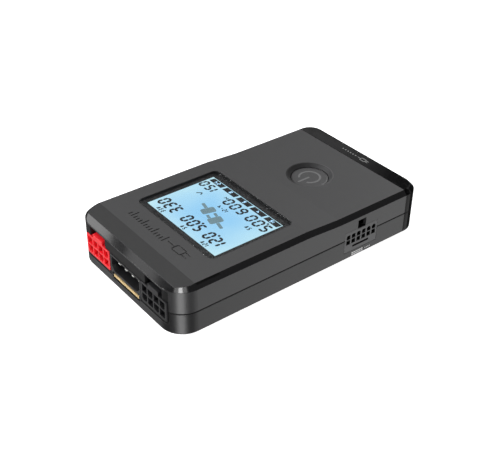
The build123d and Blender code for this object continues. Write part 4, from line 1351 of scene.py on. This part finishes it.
@dataclass
class Inside:
    """The circuit board and what is soldered to it."""

    finishes: dict[str, Finish] = field(default_factory=lambda: {
        "main_board": Finish.BOARD,
        "board_screws": Finish.STEEL,
        "controller_chip": Finish.CHIP,
        "controller_leads": Finish.TIN,
        "comparator_chips": Finish.CHIP,
        "comparator_leads": Finish.TIN,
        "load_resistors": Finish.CEMENT,
        "storage_capacitors": Finish.SLEEVE,
        "buzzer": Finish.CHIP,
        "crystal": Finish.TIN,
        "power_inductors": Finish.FERRITE,
        "chip_parts": Finish.CERAMIC,
    })

    def dress(self) -> None:
        """Finishes the board's CAD nodes."""
        dress(self.finishes)


# ---------------------------------------------------------------- studio
@dataclass(frozen=True)
class Softbox:
    """A rectangular soft light aimed at a point of the object."""

    name: str
    azimuth: float
    elevation: float
    distance: float
    width: float
    height: float
    power: float
    aim: tuple[float, float, float] = (0.0, 0.0, 0.015)

    def build(self) -> None:
        """Hangs the light at its direction from the aim."""
        light = bpy.data.lights.new(self.name, "AREA")
        light.shape = "RECTANGLE"
        light.size = self.width
        light.size_y = self.height
        light.energy = self.power
        lamp = bpy.data.objects.new(self.name, light)
        bpy.context.scene.collection.objects.link(lamp)
        turn = math.radians(self.azimuth)
        rise = math.radians(self.elevation)
        way = Vector((math.cos(rise) * math.cos(turn), math.cos(rise) * math.sin(turn), math.sin(rise)))
        lamp.location = Vector(self.aim) + way * self.distance
        lamp.rotation_euler = way.to_track_quat("Z", "Y").to_euler()
        log.info("hung %s", self.name)


@dataclass
class Studio:
    """The pale floor, the soft lights and the camera."""

    floor_half: float = 3.0
    floor_level: float = 0.8
    floor_glow: float = 1.0
    lens_mm: float = 67.11
    camera_place: tuple[float, float, float] = (0.2667, -0.2159, 0.2410)
    camera_target: tuple[float, float, float] = (0.0040, -0.0049, 0.0113)
    camera_roll: float = 1.014
    world_level: float = 0.08
    lights: tuple[Softbox, ...] = (
        Softbox("overhead_key", 172.0, 60.0, 0.7, 0.4, 0.4, 1.6),
        Softbox("rear_key", 92.0, 34.0, 0.9, 0.8, 0.3, 5.8),
        Softbox("front_fill", -120.0, 22.0, 0.6, 0.3, 0.2, 2.4),
        Softbox("cap_sheen", 136.0, 26.0, 0.8, 0.2, 0.12, 0.1),
        Softbox("corner_strip", -46.0, -34.0, 0.5, 0.2, 0.3, 1.2),
        Softbox("corner_crown", -43.0, 56.0, 0.2, 0.045, 0.067, 0.11, (0.034, -0.064, 0.020)),
        Softbox("corner_halo", -43.0, 56.0, 0.21, 0.16, 0.067, 0.1, (0.034, -0.064, 0.020)),
        Softbox("side_card", 41.0, -34.0, 0.5, 0.4, 0.45, 0.76),
        Softbox("left_chamfer_card", 193.4, 40.3, 0.1, 0.03, 0.023, 0.0085, (-0.0255, -0.0655, 0.0214)),
        Softbox("right_chamfer_card", 195.4, 44.0, 0.1, 0.03, 0.0184, 0.0028, (0.0125, -0.0655, 0.0214)),
        Softbox("nose_card", -150.0, -37.0, 0.3, 0.16, 0.12, 0.04, (-0.005, -0.067, 0.008)),
    )

    def build(self) -> None:
        """Builds the floor, world, lights and camera."""
        self.build_floor()
        self.build_world()
        for softbox in self.lights:
            softbox.build()
        self.build_camera()
        bpy.context.scene.view_settings.view_transform = "Standard"

    def build_floor(self) -> None:
        """A wide pale floor just under the object."""
        mesh = bmesh.new()
        half = self.floor_half
        corners = [mesh.verts.new((x, y, 0.0)) for x, y in ((-half, -half), (half, -half), (half, half),
                                                           (-half, half))]
        mesh.faces.new(corners)
        data = bpy.data.meshes.new("floor")
        mesh.to_mesh(data)
        mesh.free()
        floor = bpy.data.objects.new("floor", data)
        bpy.context.scene.collection.objects.link(floor)
        paints.coat(floor, PaleSweep("pale_floor", grey(self.floor_level), self.floor_glow))
        floor.visible_glossy = False
        floor.visible_diffuse = False
        floor.visible_shadow = False

    def build_world(self) -> None:
        """A dim even surround."""
        world = bpy.data.worlds.new("surround")
        world.use_nodes = True
        background = world.node_tree.nodes["Background"]
        background.inputs["Color"].default_value = (1.0, 1.0, 1.0, 1.0)
        background.inputs["Strength"].default_value = self.world_level
        bpy.context.scene.world = world

    def build_camera(self) -> None:
        """The camera, slightly rolled, looking down on the socket corner."""
        data = bpy.data.cameras.new("camera")
        data.lens = self.lens_mm
        data.sensor_width = 36.0
        data.clip_start = 0.01
        camera = bpy.data.objects.new("camera", data)
        bpy.context.scene.collection.objects.link(camera)
        place = Vector(self.camera_place)
        aim = (place - Vector(self.camera_target)).to_track_quat("Z", "Y").to_matrix()
        roll = Matrix.Rotation(math.radians(self.camera_roll), 3, "Z")
        camera.matrix_world = Matrix.Translation(place) @ (aim @ roll).to_4x4()
        bpy.context.scene.camera = camera


def main() -> None:
    """Builds and dresses each sub-assembly, then the studio."""
    logging.basicConfig(level=logging.INFO, format="%(name)s: %(message)s")
    case = Case()
    case.build()
    case.dress()
    display = Display()
    display.build()
    display.dress()
    button = PowerButton()
    button.build()
    button.dress()
    Sockets().dress()
    Inside().dress()
    Studio().build()


if __name__ == "__main__":
    main()
